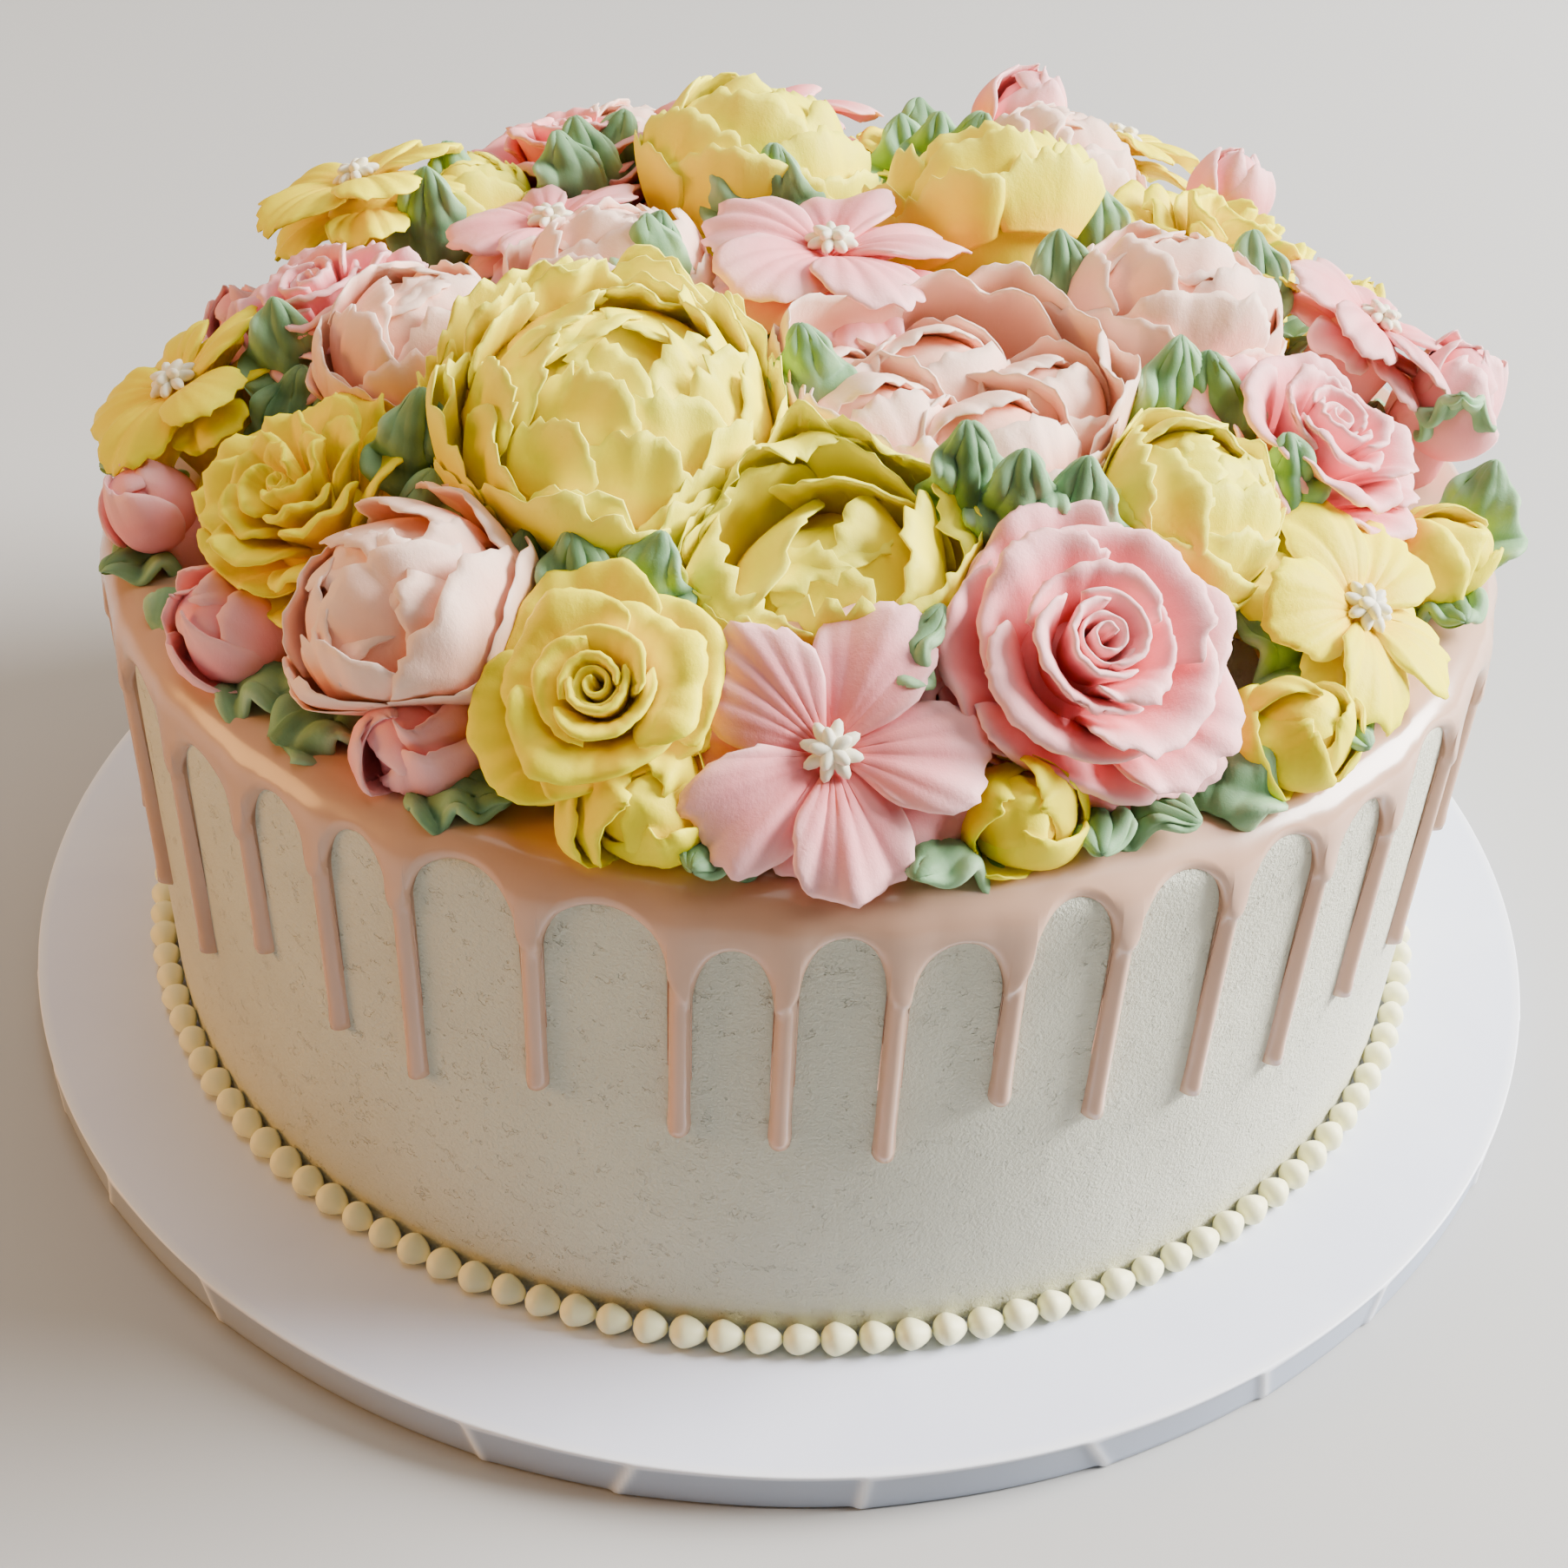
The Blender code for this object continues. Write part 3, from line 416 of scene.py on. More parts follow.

# Colours, linear: painted shade in the recesses, the colour over most of the petal, and painted light along
# its thin edge.
PETAL_COLOURS = {
    "pink": ((0.86, 0.17, 0.18), (0.97, 0.36, 0.38), (0.98, 0.53, 0.53)),
    "rose pink": ((0.84, 0.12, 0.12), (0.96, 0.29, 0.30), (0.97, 0.47, 0.46)),
    "peach": ((0.93, 0.34, 0.21), (0.99, 0.57, 0.43), (0.99, 0.70, 0.57)),
    "yellow": ((0.95, 0.54, 0.00), (0.99, 0.80, 0.00), (0.99, 0.88, 0.00)),
    "pale yellow": ((0.96, 0.62, 0.00), (0.99, 0.84, 0.00), (0.99, 0.92, 0.07)),
}
# Leaf colours in the same order: painted shade in the hollows, the leaf's colour, and painted light on its
# ridges and edges.
LEAF_COLOURS = ((0.09, 0.19, 0.085), (0.25, 0.44, 0.23), (0.40, 0.60, 0.35))
WRAP_TOP = ((0.76, 0.80, 0.94, 1.0), (0.71, 0.75, 0.91, 1.0))
# Painted shade round the side of the board.
WRAP_SIDE_PAINTED_SHADE = (0.40, 0.45, 0.56, 1.0)
# Painted highlight along the folds of the wrap.
WRAP_FOLD_PAINTED_HIGHLIGHT = (0.86, 0.88, 0.95, 1.0)
FLOOR_COLOUR = (0.44, 0.44, 0.435)

# Smoothed and poured creams: light and dark tone; pits and smears per metre; the level over which
# the noise opens a pit; depth of the grain; strength of the relief; and roughness.
Cream = namedtuple("Cream", "light dark pits smears pit_level grain_depth relief roughness")
CREAMS = {
    "icing_ivory": Cream((0.66, 0.655, 0.53), (0.60, 0.595, 0.48), 320.0, 130.0, 0.612, 1.1, 1.0, 0.55),
    "glaze_peach": Cream((0.64, 0.39, 0.27), (0.59, 0.355, 0.245), 150.0, 20.0, 0.95, 0.03, 0.15, 0.24),
    "bead_cream": Cream((0.98, 0.95, 0.60), (0.96, 0.92, 0.54), 900.0, 240.0, 0.72, 0.2, 0.3, 0.45),
    "star_cream": Cream((0.95, 0.90, 0.70), (0.92, 0.86, 0.64), 1200.0, 300.0, 0.72, 0.2, 0.3, 0.50),
}
GLAZE_COAT = {"Coat Weight": 0.5, "Coat Roughness": 0.14}
PETAL_GRAIN = {"Pits": 800.0, "Smears": 420.0, "Pit Level": 0.70, "Grain": 2200.0, "Grain Depth": 0.35}

# Lamps: name, place, size, power in watts and colour. A wide soft light comes from above.
LAMPS = (
    ("window", (1.7, 0.3, 1.0), 1.1, 194.0, (1.0, 0.985, 0.96)),
    ("left_side", (-1.45, -0.2, 0.5), 0.8, 17.0, (1.0, 0.50, 0.14)),
)
CEILING_FROM = (0.3, 0.55, 1.5)
CEILING_STRENGTH = 2.1
CEILING_SPREAD = 70.0
CEILING_COLOUR = (1.0, 0.98, 0.92)
ROOM_COLOUR = (1.0, 0.97, 0.92, 1.0)
ROOM_STRENGTH = 0.07
FLOOR_REACH = 30.0


# Places on the cake.


def polar(angle, radius, height=0.0):
    """Point at an angle in degrees and a distance from the cake's axis."""
    turn = math.radians(angle)
    return np.array((radius * math.cos(turn), radius * math.sin(turn), height))


def unit(vector):
    return vector / np.linalg.norm(vector)


def outward(turns):
    """Level directions away from the cake's axis, one for each turn."""
    return np.stack((np.cos(turns), np.sin(turns), np.zeros_like(turns)), axis=-1)


def mound_height(radius):
    if radius >= MOUND_RADIUS:
        return GLAZE_TOP
    return CAKE_TOP + MOUND_HEIGHT * (1.0 - (radius / MOUND_RADIUS) ** MOUND_POWER)


def lean_axis(angle, radius):
    """Direction in which a flower looks, more outwards the farther it stands from the middle."""
    side = LEAN_AT_SIDE - LEAN_FRONT_EXTRA * math.sin(math.radians(angle))
    lean = min(LEAN_LIMIT, side * (radius / LEAN_RADIUS) ** LEAN_POWER)
    return polar(angle, math.sin(math.radians(lean)), math.cos(math.radians(lean)))


class Bloom:
    """Place, direction and room of one flower."""

    def __init__(self, name, form, colour, angle, distance, diameter, heart_height, turn):
        self.name = name
        self.form = FORMS[form]
        self.colour = colour
        self.radius = 0.5 * diameter * MM
        self.base = polar(angle, distance * MM, mound_height(distance * MM))
        self.axis = lean_axis(angle, distance * MM)
        self.side = unit(np.array((1.0, 0.0, 0.0)) - self.axis[0] * self.axis)
        self.across = np.cross(self.axis, self.side)
        self.heart = self.base + heart_height * MM * self.axis
        self.middle = self.heart - self.form.drop * self.radius * self.axis
        self.turn = math.radians(turn)
        self.lies_over = form == "blossom"
        leaning = Vector((-math.sin(self.turn), math.cos(self.turn), 0.0))
        self.tilt = np.array(Matrix.Rotation(math.radians(self.form.tilt), 3, leaning))
        self.walls = [np.array((0.0, 0.0, -1.0)) / max(self.middle[2] - GLAZE_TOP, MIN_ROOM)]

    def make_room(self, other):
        """Set the wall between two flowers; a flat blossom keeps its shape and lies over them."""
        between = other.middle - self.middle
        span = float(np.linalg.norm(between))
        if span > 1.6 * (self.radius + other.radius):
            return
        share = self.radius / (self.radius + other.radius)
        push = 0.5 * (self.form.push + other.form.push) * MM
        if not self.lies_over:
            self.walls.append(between / span / max(share * span + push, MIN_ROOM))
        if not other.lies_over:
            other.walls.append(-between / span / max((1.0 - share) * span + push, MIN_ROOM))

    def placed(self, points):
        """Bring points from the flower's own frame to their place and press them into its room."""
        frame_axes = np.array((self.side, self.across, self.axis))
        offsets = self.heart + points @ frame_axes - self.middle
        share = np.max(offsets @ np.array(self.walls).T, axis=1)
        room = 1.0 - FREE_SHARE
        over = np.maximum(share - FREE_SHARE, 0.0)
        kept = np.where(share > FREE_SHARE, FREE_SHARE + room * (1.0 - np.exp(-over / room)), share)
        scale = np.where(share > FREE_SHARE, kept / np.maximum(share, FREE_SHARE), 1.0)
        return self.middle + offsets * scale[:, None]


# Sheets and rounds of buttercream.


def slab_faces(rows, columns):
    """Faces of a closed slab whose upper points come first and then its lower points."""
    upper = np.arange(rows * columns).reshape(rows, columns)
    lower = upper + rows * columns
    tops = (upper[:-1, :-1], upper[1:, :-1], upper[1:, 1:], upper[:-1, 1:])
    bottoms = (lower[:-1, :-1], lower[:-1, 1:], lower[1:, 1:], lower[1:, :-1])
    border = np.concatenate((upper[0, :-1], upper[:-1, -1], upper[-1, :0:-1], upper[:0:-1, 0]))
    following = np.roll(border, -1)
    rim = (border, following, following + rows * columns, border + rows * columns)
    return np.concatenate([np.stack(part, axis=-1).reshape(-1, 4) for part in (tops, bottoms, rim)])


def wrapped_faces(rows, columns, closed_rows=False):
    """Faces between rings of points, each ring a closed loop."""
    index = np.arange(rows * columns).reshape(rows, columns)
    following = np.roll(index, -1, axis=1)
    if closed_rows:
        below = np.roll(index, -1, axis=0)
        below_following = np.roll(following, -1, axis=0)
    else:
        index, below = index[:-1], index[1:]
        following, below_following = following[:-1], following[1:]
    return np.stack((index, below, below_following, following), axis=-1).reshape(-1, 4)


def sheet_normals(grid):
    along = np.gradient(grid, axis=0)
    across = np.gradient(grid, axis=1)
    normal = np.cross(along, across)
    return normal / np.maximum(np.linalg.norm(normal, axis=2, keepdims=True), 1e-12)


def signed_volume(points, faces):
    a, b, c, d = (points[faces[:, i]] for i in range(4))
    return float(np.sum(a * np.cross(b, c)) + np.sum(a * np.cross(c, d)))


class Sculpture:
    """Closed pieces of buttercream, gathered into one mesh with its colour attributes."""

    def __init__(self):
        self.points = []
        self.faces = []
        self.edge = []
        self.shade = []
        self.size = 0

    def add(self, points, faces, edge, shade):
        """Add one closed piece. Edge runs from 0 in the recess to 1 at a thin edge; the materials paint shade
        towards 0 and light towards 1, and on the board it marks the painted highlight of the folds.
        """
        if signed_volume(points, faces) < 0.0:
            faces = faces[:, ::-1]
        self.points.append(points)
        self.faces.append(faces + self.size)
        self.edge.append(np.broadcast_to(edge, len(points)))
        self.shade.append(np.full(len(points), shade))
        self.size += len(points)

    def add_sheet(self, grid, thickness, edge, shade, place=None):
        """Give a grid its thickness on both sides, bring it to its place and add it as a slab."""
        half = 0.5 * sheet_normals(grid) * thickness[..., None]
        points = np.concatenate(((grid + half).reshape(-1, 3), (grid - half).reshape(-1, 3)))
        if place:
            points = place(points)
        tone = np.concatenate((edge.ravel(), edge.ravel()))
        self.add(points, slab_faces(*grid.shape[:2]), tone, shade)

    def to_object(self, name, material):
        mesh = bpy.data.meshes.new(name)
        mesh.from_pydata(np.concatenate(self.points).tolist(), [], np.concatenate(self.faces).tolist())
        for label, values in (("edge", self.edge), ("shade", self.shade)):
            layer = mesh.attributes.new(label, "FLOAT", "POINT")
            layer.data.foreach_set("value", np.concatenate(values).astype(np.float32))
        mesh.materials.append(material)
        mesh.shade_smooth()
        return show(bpy.data.objects.new(name, mesh))


def show(obj):
    bpy.context.scene.collection.objects.link(obj)
    return obj


# Flowers.


def waves(positions, rng, cycles, count=3):
    """A smooth random line: a few sine waves of about the given number of cycles over -1 to 1."""
    total = np.zeros_like(positions)
    for i in range(count):
        pace = cycles * rng.uniform(0.7, 1.4)
        total += np.sin(math.pi * pace * positions + rng.uniform(0.0, FULL_TURN))
    return total / count


def petal_thickness(along, across):
    """Thick at the base, thin at the edge, and rounded off all round."""
    base, edge = PETAL_THICKNESS
    body = base + (edge - base) * along[:, None] ** 0.7
    border = np.maximum(along[:, None], np.abs(across)[None, :])
    return body * np.sqrt(1.0 - 0.90 * border ** 14)


def petal_outline(bloom, row, length, along, across, rng):
    """How far along its length each line of a petal has come, its rounded and torn edge at 1."""
    torn = 0.5 + 0.5 * waves(across, rng, 6.5)
    nick = min(EDGE_NICK, NICK_PER_TOOTH * bloom.form.tooth)
    notches = bloom.form.tooth * torn ** 2 + nick / length * rng.random(len(across))
    outline = 1.0 - row.round * np.abs(across) ** 2.4 - notches + 0.035 * waves(across, rng, 2.5)
    return along[:, None] * outline[None, :]


def petal_relief(bloom, share, across, rng):
    """Ridges along a petal and the fine crinkle of its edge."""
    ridges = 1.5 * bloom.form.ridge * MM * share * waves(across, rng, bloom.form.pace, 5)[None, :]
    crinkle = 0.35 * MM * share ** 8 * rng.uniform(-1.0, 1.0, len(across))[None, :]
    return ridges + crinkle


def fanned_grid(bloom, cluster, row, centre, along, across, rng):
    """Middle surface of a petal that fans out from the flower's axis."""
    radius = bloom.radius * cluster.size
    share = petal_outline(bloom, row, 0.9 * radius, along, across, rng)
    base, bend, tip = (radius * np.array(place) for place in (row.base, row.bend, row.tip))
    tip = tip * rng.uniform(0.95, 1.05, 2) + (0.0, 0.05 * radius * rng.uniform(-1.0, 1.0))
    bend = bend * rng.uniform(0.96, 1.04, 2)
    step = share[..., None]
    profile = (1.0 - step) ** 2 * base + 2.0 * step * (1.0 - step) * bend + step ** 2 * tip
    fan = 0.80 + 0.20 * np.sin(0.5 * math.pi * along)
    turn = centre + math.radians(row.span * rng.uniform(0.94, 1.06)) * across[None, :] * fan[:, None]
    reach, height = profile[..., 0], profile[..., 1]
    grid = np.stack((reach * np.cos(turn), reach * np.sin(turn), height), axis=-1)
    lap = row.overlap * radius * across[None, :] * share
    ruffle = 1.6 * row.wave * radius * share ** 2 * waves(across, rng, 2.2)[None, :]
    grid = grid + sheet_normals(grid) * (ruffle - lap + petal_relief(bloom, share, across, rng))[..., None]
    grid[..., 2] += row.cup * radius * share * across[None, :] ** 2
    return grid


def scale_grid(bloom, cluster, row, centre, along, across, rng):
    """Middle surface of a petal that lies on a dome like a scale."""
    radius = bloom.radius * cluster.size
    reach, height, drop = row.dome
    share = petal_outline(bloom, row, math.radians(row.length) * reach * radius, along, across, rng)
    skew = 10.0 * rng.uniform(-1.0, 1.0) * across[None, :] * share
    angle = np.radians(row.tip + rng.uniform(-5.0, 5.0) + row.length * (1.0 - share) + skew)
    fan = 0.70 + 0.30 * np.sin(0.5 * math.pi * along)
    sweep = np.radians(row.width * rng.uniform(0.9, 1.1)) * across[None, :] * fan[:, None]
    lean = rng.uniform(0.25, 0.65) * row.lift * across[None, :]
    rise = row.lift * rng.uniform(0.8, 1.25) + lean + row.cup * across[None, :] ** 2
    lift = (rise + 0.06) * share ** 1.6 - 0.06
    outward = np.cos(sweep) * np.sin(angle)
    grid = np.stack((
        (reach + lift) * (outward * math.cos(centre) - np.sin(sweep) * math.sin(centre)),
        (reach + lift) * (outward * math.sin(centre) + np.sin(sweep) * math.cos(centre)),
        drop + (height + lift) * np.cos(sweep) * np.cos(angle),
    ), axis=-1) * radius
    ruffle = 0.055 * radius * share ** 1.5 * waves(across, rng, 2.0)[None, :]
    return grid - sheet_normals(grid) * (ruffle + petal_relief(bloom, share, across, rng))[..., None]


def half_breadth(row):
    """Half the width of a petal, in shares of the radius of its cluster."""
    if isinstance(row, FlakeRow):
        return row.width * row.dome[0] / DEGREES_IN_RADIAN
    return math.radians(row.span) * max(row.tip[0], 0.6 * row.bend[0])


def add_petal(sculpture, bloom, cluster, row, centre, rng):
    breadth = half_breadth(row)
    rows = SMALL_PETAL_ROWS if cluster.size * breadth < SMALL_PETAL else PETAL_ROWS
    fewest, most = PETAL_COLUMNS
    columns = int(2.0 * breadth * bloom.radius * cluster.size / PETAL_SPACING)
    across = np.linspace(-1.0, 1.0, min(max(columns, fewest), most))
    along = np.linspace(0.0, 1.0, rows)
    make_grid = scale_grid if isinstance(row, FlakeRow) else fanned_grid
    grid = make_grid(bloom, cluster, row, centre, along, across, rng)
    grid = grid @ bloom.tilt.T + bloom.radius * np.array(cluster.place)
    # Level along the petal that the material paints as shade near the base and as light at the edge.
    tone = along[:, None] ** 1.2 * np.ones(len(across))[None, :]
    sculpture.add_sheet(grid, petal_thickness(along, across), tone, rng.uniform(-1.0, 1.0), bloom.placed)


def add_rolled_heart(sculpture, bloom, rng):
    """The tight roll of piped ribbon in the middle of a rose."""
    rows, columns = ROLL_GRID
    along = np.linspace(0.0, 1.0, rows)
    wind = np.linspace(0.0, 1.0, columns)
    flat = np.ones(columns)[None, :]
    turn = bloom.turn + FULL_TURN * ROLL_TURNS * wind
    reach = bloom.radius * (0.025 + (bloom.form.rolled - 0.025) * wind)
    top = bloom.radius * (0.03 - 0.05 * wind + 0.012 * waves(2.0 * wind - 1.0, rng, 8.0))
    height = -ROLL_DEPTH * bloom.radius + (top + ROLL_DEPTH * bloom.radius)[None, :] * along[:, None]
    flare = reach[None, :] + 0.02 * bloom.radius * along[:, None] ** 3
    grid = np.stack((flare * np.cos(turn), flare * np.sin(turn), height), axis=-1)
    thickness = ROLL_THICKNESS * np.sqrt(1.0 - 0.9 * along[:, None] ** 10) * flat
    # Painted shade deep in the roll, painted light towards its top edge.
    tone = 0.35 + 0.65 * along[:, None] ** 2 * flat
    sculpture.add_sheet(grid, thickness, tone, 0.0, bloom.placed)


def add_core(sculpture, bloom):
    """The mound of buttercream that the petals are piped on, down to the cake."""
    turns = np.linspace(0.0, FULL_TURN, CORE_COLUMNS, endpoint=False)
    circle = np.stack((np.cos(turns), np.sin(turns)), axis=-1)
    rings = [
        np.column_stack((radius * circle, np.full(CORE_COLUMNS, height)))
        for radius, height in bloom.form.core
    ]
    placed = bloom.placed(bloom.radius * np.concatenate(rings) @ bloom.tilt.T)
    down = bloom.base - 2.5 * MM * bloom.axis
    height = float(np.linalg.norm(bloom.heart - bloom.base))
    reach = min(0.62 * bloom.radius + 0.26 * height, bloom.radius + 2.0 * MM)
    foot = down + reach * (circle[:, :1] * bloom.side + circle[:, 1:] * bloom.across)
    last = down + 0.05 * (foot - down)
    points = np.concatenate((placed, foot, last))
    sculpture.add(points, wrapped_faces(len(rings) + 2, CORE_COLUMNS), CORE_TONE, 0.0)


def build_flower(bloom, materials, rng):
    sculpture = Sculpture()
    add_core(sculpture, bloom)
    if bloom.form.rolled > 0.0:
        add_rolled_heart(sculpture, bloom, rng)
    for cluster in bloom.form.clusters:
        for number, row in enumerate(cluster.rows):
            start = bloom.turn + number * (math.pi / row.count + 0.35)
            for i in range(row.count):
                centre = start + FULL_TURN * i / row.count + rng.uniform(-0.07, 0.07)
                add_petal(sculpture, bloom, cluster, row, centre, rng)
    return sculpture.to_object(bloom.name + "_petals", materials[bloom.colour])


def build_flowers(materials):
    """All flowers and buds, once each has made room for its neighbours."""
    blooms = [Bloom(*row) for row in FLOWERS]
    for i, one in enumerate(blooms):
        for other in blooms[i + 1:]:
            one.make_room(other)
    for i, bloom in enumerate(blooms):
        piece = build_flower(bloom, materials, np.random.default_rng(FIRST_PETAL_SEED + i))
        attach(piece, "root")
        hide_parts(bloom.name)
    return blooms


# Leaves.


def leaf_spine(middle, bearing, lift, length, along, rng):
    """Points along the middle of a leaf, which rises at first, bends over and curls to one side."""
    side = polar(bearing + 90.0, 1.0)
    ahead = polar(bearing, 1.0)
    rise = np.array((0.0, 0.0, 1.0))
    bend = math.radians(rng.uniform(35.0, 60.0))
    slope = math.radians(lift) + bend * (0.5 - along)
    steps = len(along) - 1
    forward = np.concatenate(([0.0], np.cumsum(np.cos(slope[:-1])))) / steps
    upward = np.concatenate(([0.0], np.cumsum(np.sin(slope[:-1])))) / steps
    curl = rng.uniform(-0.22, 0.22) * along ** 2
    spine = length * (forward[:, None] * ahead + upward[:, None] * rise + curl[:, None] * side)
    return spine + middle - spine[len(along) // 2]


def add_leaf(sculpture, middle, bearing, lift, length, size, rng):
    """One squat piped leaf: ridged along its length, ruffled at its sides, pointed at its tip."""
    rows, columns = size
    along = np.linspace(0.0, 1.0, rows)
    across = np.linspace(-1.0, 1.0, columns)
    side = polar(bearing + 90.0, 1.0)
    spine = leaf_spine(middle, bearing, lift, length, along, rng)
    half_width = 0.44 * length * np.sin(math.pi * (0.16 + 0.84 * along) ** 0.85) ** 0.8
    half_width = np.maximum(half_width, 0.03 * length * (1.2 - along))
    grid = spine[:, None, :] + half_width[:, None, None] * across[None, :, None] * side
    folds = np.where(across < 0.0, rng.uniform(1.6, 2.5), rng.uniform(1.6, 2.5))
    start = np.where(across < 0.0, rng.uniform(0.0, 6.0), rng.uniform(0.0, 6.0))
    outer = np.abs(across)[None, :]
    turn = FULL_TURN * (folds[None, :] * along[:, None] - 0.5 * outer) + start[None, :]
    width_share = half_width[:, None] / half_width.max()
    crease = 0.15 * length * outer * width_share
    ridges = LEAF_RIDGE * waves(across, rng, 3.6, 3)[None, :] * np.sin(math.pi * along)[:, None] ** 0.5
    ruffle = 0.15 * length * np.sin(turn) * outer ** 1.2 * width_share
    lumps = 0.012 * length * np.sin(1.7 * turn + 2.0 * outer) * width_share
    scallop = 0.05 * length * np.cos(turn) * outer ** 2 * width_share
    grid = grid - sheet_normals(grid) * (crease + ridges + ruffle + lumps)[..., None]
    grid = grid + (scallop * np.sign(across)[None, :])[..., None] * side
    border = np.maximum(along[:, None] ** 2, outer)
    thickness = LEAF_THICKNESS * np.sqrt(1.0 - 0.90 * border ** 6)
    # Painted light on the raised ridges and outer sides of the leaf, painted shade in its hollows.
    raised = 0.7 * ridges / MM - 4.0 * (ruffle + lumps) / length
    tone = np.clip(0.22 + 0.45 * outer ** 1.5 + 0.5 * raised + np.zeros((rows, 1)), 0.0, 1.0)
    sculpture.add_sheet(grid, thickness, tone, rng.uniform(-1.0, 1.0))


def covered(place, blooms):
    """Whether a flower sits so low over a place that a leaf would poke through it."""
    for bloom in blooms:
        beside_heart = math.hypot(*(bloom.heart - place)[:2])
        beside_base = math.hypot(*(bloom.base - place)[:2])
        underside = float(np.linalg.norm(bloom.heart - bloom.base)) - 0.45 * bloom.radius
        under = beside_heart < 0.80 * bloom.radius or beside_base < 0.70 * bloom.radius
        if under and (underside < FILL_HEADROOM or beside_base < 0.45 * bloom.radius + 2.0 * MM):
            return True
    return False


def fill_leaves(blooms):
    """Low leaves on the bare places, tried in turn on a spiral over the top."""
    rng = np.random.default_rng(FILL_SEED)
    taken = [polar(angle, distance * MM) for _, angle, distance, *_ in LEAVES]
    for i in range(FILL_SPOTS):
        radius = FILL_REACH * math.sqrt((i + 0.5) / FILL_SPOTS)
        angle = math.degrees(i * FILL_TURN)
        place = polar(angle, radius)
        nearest = min(math.hypot(*(other - place)[:2]) for other in taken)
        if nearest < FILL_SPACING or covered(place, blooms):
            continue
        taken.append(place)
        height, lift = (3.5, 12.0) if radius > MOUND_RADIUS else (5.0, 28.0)
        bearing = angle + rng.uniform(-80.0, 80.0)
        yield "fill_leaves", angle, radius / MM, height, bearing, lift, rng.uniform(*FILL_LENGTHS)


def build_leaves(blooms, material):
    """The listed leaves, one piece for each group, and the fill leaves as one more piece."""
    nodes = set(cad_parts)
    rng = np.random.default_rng(LEAF_SEED)
    sculptures = {}
    for name, angle, distance, height, bearing, lift, length in LEAVES + tuple(fill_leaves(blooms)):
        sculpture = sculptures.setdefault(name, Sculpture())
        middle = polar(angle, distance * MM, mound_height(distance * MM) + height * MM)
        size = FILL_GRID if name == "fill_leaves" else LEAF_GRID
        add_leaf(sculpture, middle, bearing, lift, length * MM, size, rng)
    for name, sculpture in sculptures.items():
        piece = sculpture.to_object(name + "_piped", material)
        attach(piece, "root")
        if name in nodes:
            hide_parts(name)


# Cake, glaze and board.


def turned_grid(profile, columns):
    """Rings of points from a profile of (radius, height) points, turned about the Z axis."""
    turns = np.linspace(0.0, FULL_TURN, columns, endpoint=False)
    profile = np.array(profile)
    grid = np.empty((len(profile), columns, 3))
    grid[..., 0] = profile[:, :1] * np.cos(turns)
    grid[..., 1] = profile[:, :1] * np.sin(turns)
    grid[..., 2] = profile[:, 1:]
    return grid, turns


def turned_piece(name, grid, material, edge=0.5):
    sculpture = Sculpture()
    rows, columns = grid.shape[:2]
    sculpture.add(grid.reshape(-1, 3), wrapped_faces(rows, columns), np.ravel(edge), 0.0)
    return sculpture.to_object(name, material)


def ring_noise(turns, heights, rng, count, pace):
    """Soft random relief over a turned side, made of waves that close round the ring."""
    relief = np.zeros((len(heights), len(turns)))
    for i in range(count):
        around = rng.integers(2, pace)
        upward = rng.uniform(20.0, 160.0)
        relief += np.sin(around * turns[None, :] + upward * heights[:, None] + rng.uniform(0.0, FULL_TURN))
    return relief / count


def build_cake(material):
    """The iced cake with its low mound under the flowers, not quite smooth round its side."""
    mound_radii = np.linspace(0.004 * MOUND_RADIUS, MOUND_RADIUS, 14)
    profile = [(radius, mound_height(radius * 0.9999)) for radius in mound_radii]
    profile.append((CAKE_RADIUS - CAKE_SHOULDER, CAKE_TOP))
    corner = np.linspace(0.0, 0.5 * math.pi, 7)[1:]
    for turn in corner:
        profile.append((CAKE_RADIUS - CAKE_SHOULDER * (1.0 - math.sin(turn)),
                        CAKE_TOP - CAKE_SHOULDER * (1.0 - math.cos(turn))))
    side_heights = np.linspace(CAKE_TOP - CAKE_SHOULDER, CAKE_FOOT, 60)[1:]
    profile += [(CAKE_RADIUS, height) for height in side_heights]
    profile.append((0.5 * MM, CAKE_FOOT))
    grid, turns = turned_grid(profile, CAKE_COLUMNS)
    rng = np.random.default_rng(SMOOTHING_SEED)
    relief = SMOOTHING_RELIEF * ring_noise(turns, side_heights, rng, 24, 40)
    first = len(profile) - 1 - len(side_heights)
    grid[first:-1] += relief[..., None] * outward(turns)[None, :, :]
    piece = turned_piece("smoothed_icing", grid, material)
    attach(piece, "root")
    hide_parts("iced_cake")


def drip_list():
    """Angle, tip height and height of the arch after each drip, the unseen ones by a seeded rule."""
    rng = np.random.default_rng(DRIP_SEED)
    drips = [(angle, tip * MM, arch * MM) for angle, tip, arch in FRONT_DRIPS]
    first = FRONT_DRIPS[-1][0]
    last = FRONT_DRIPS[0][0] + 360.0
    step = (last - first) / (BACK_DRIP_COUNT + 1)
    for i in range(BACK_DRIP_COUNT):
        angle = first + step * (i + 1 + rng.uniform(-0.18, 0.18))
        drips.append((angle, rng.uniform(*BACK_TIPS) * MM, rng.uniform(*BACK_ARCHES) * MM))
    return drips


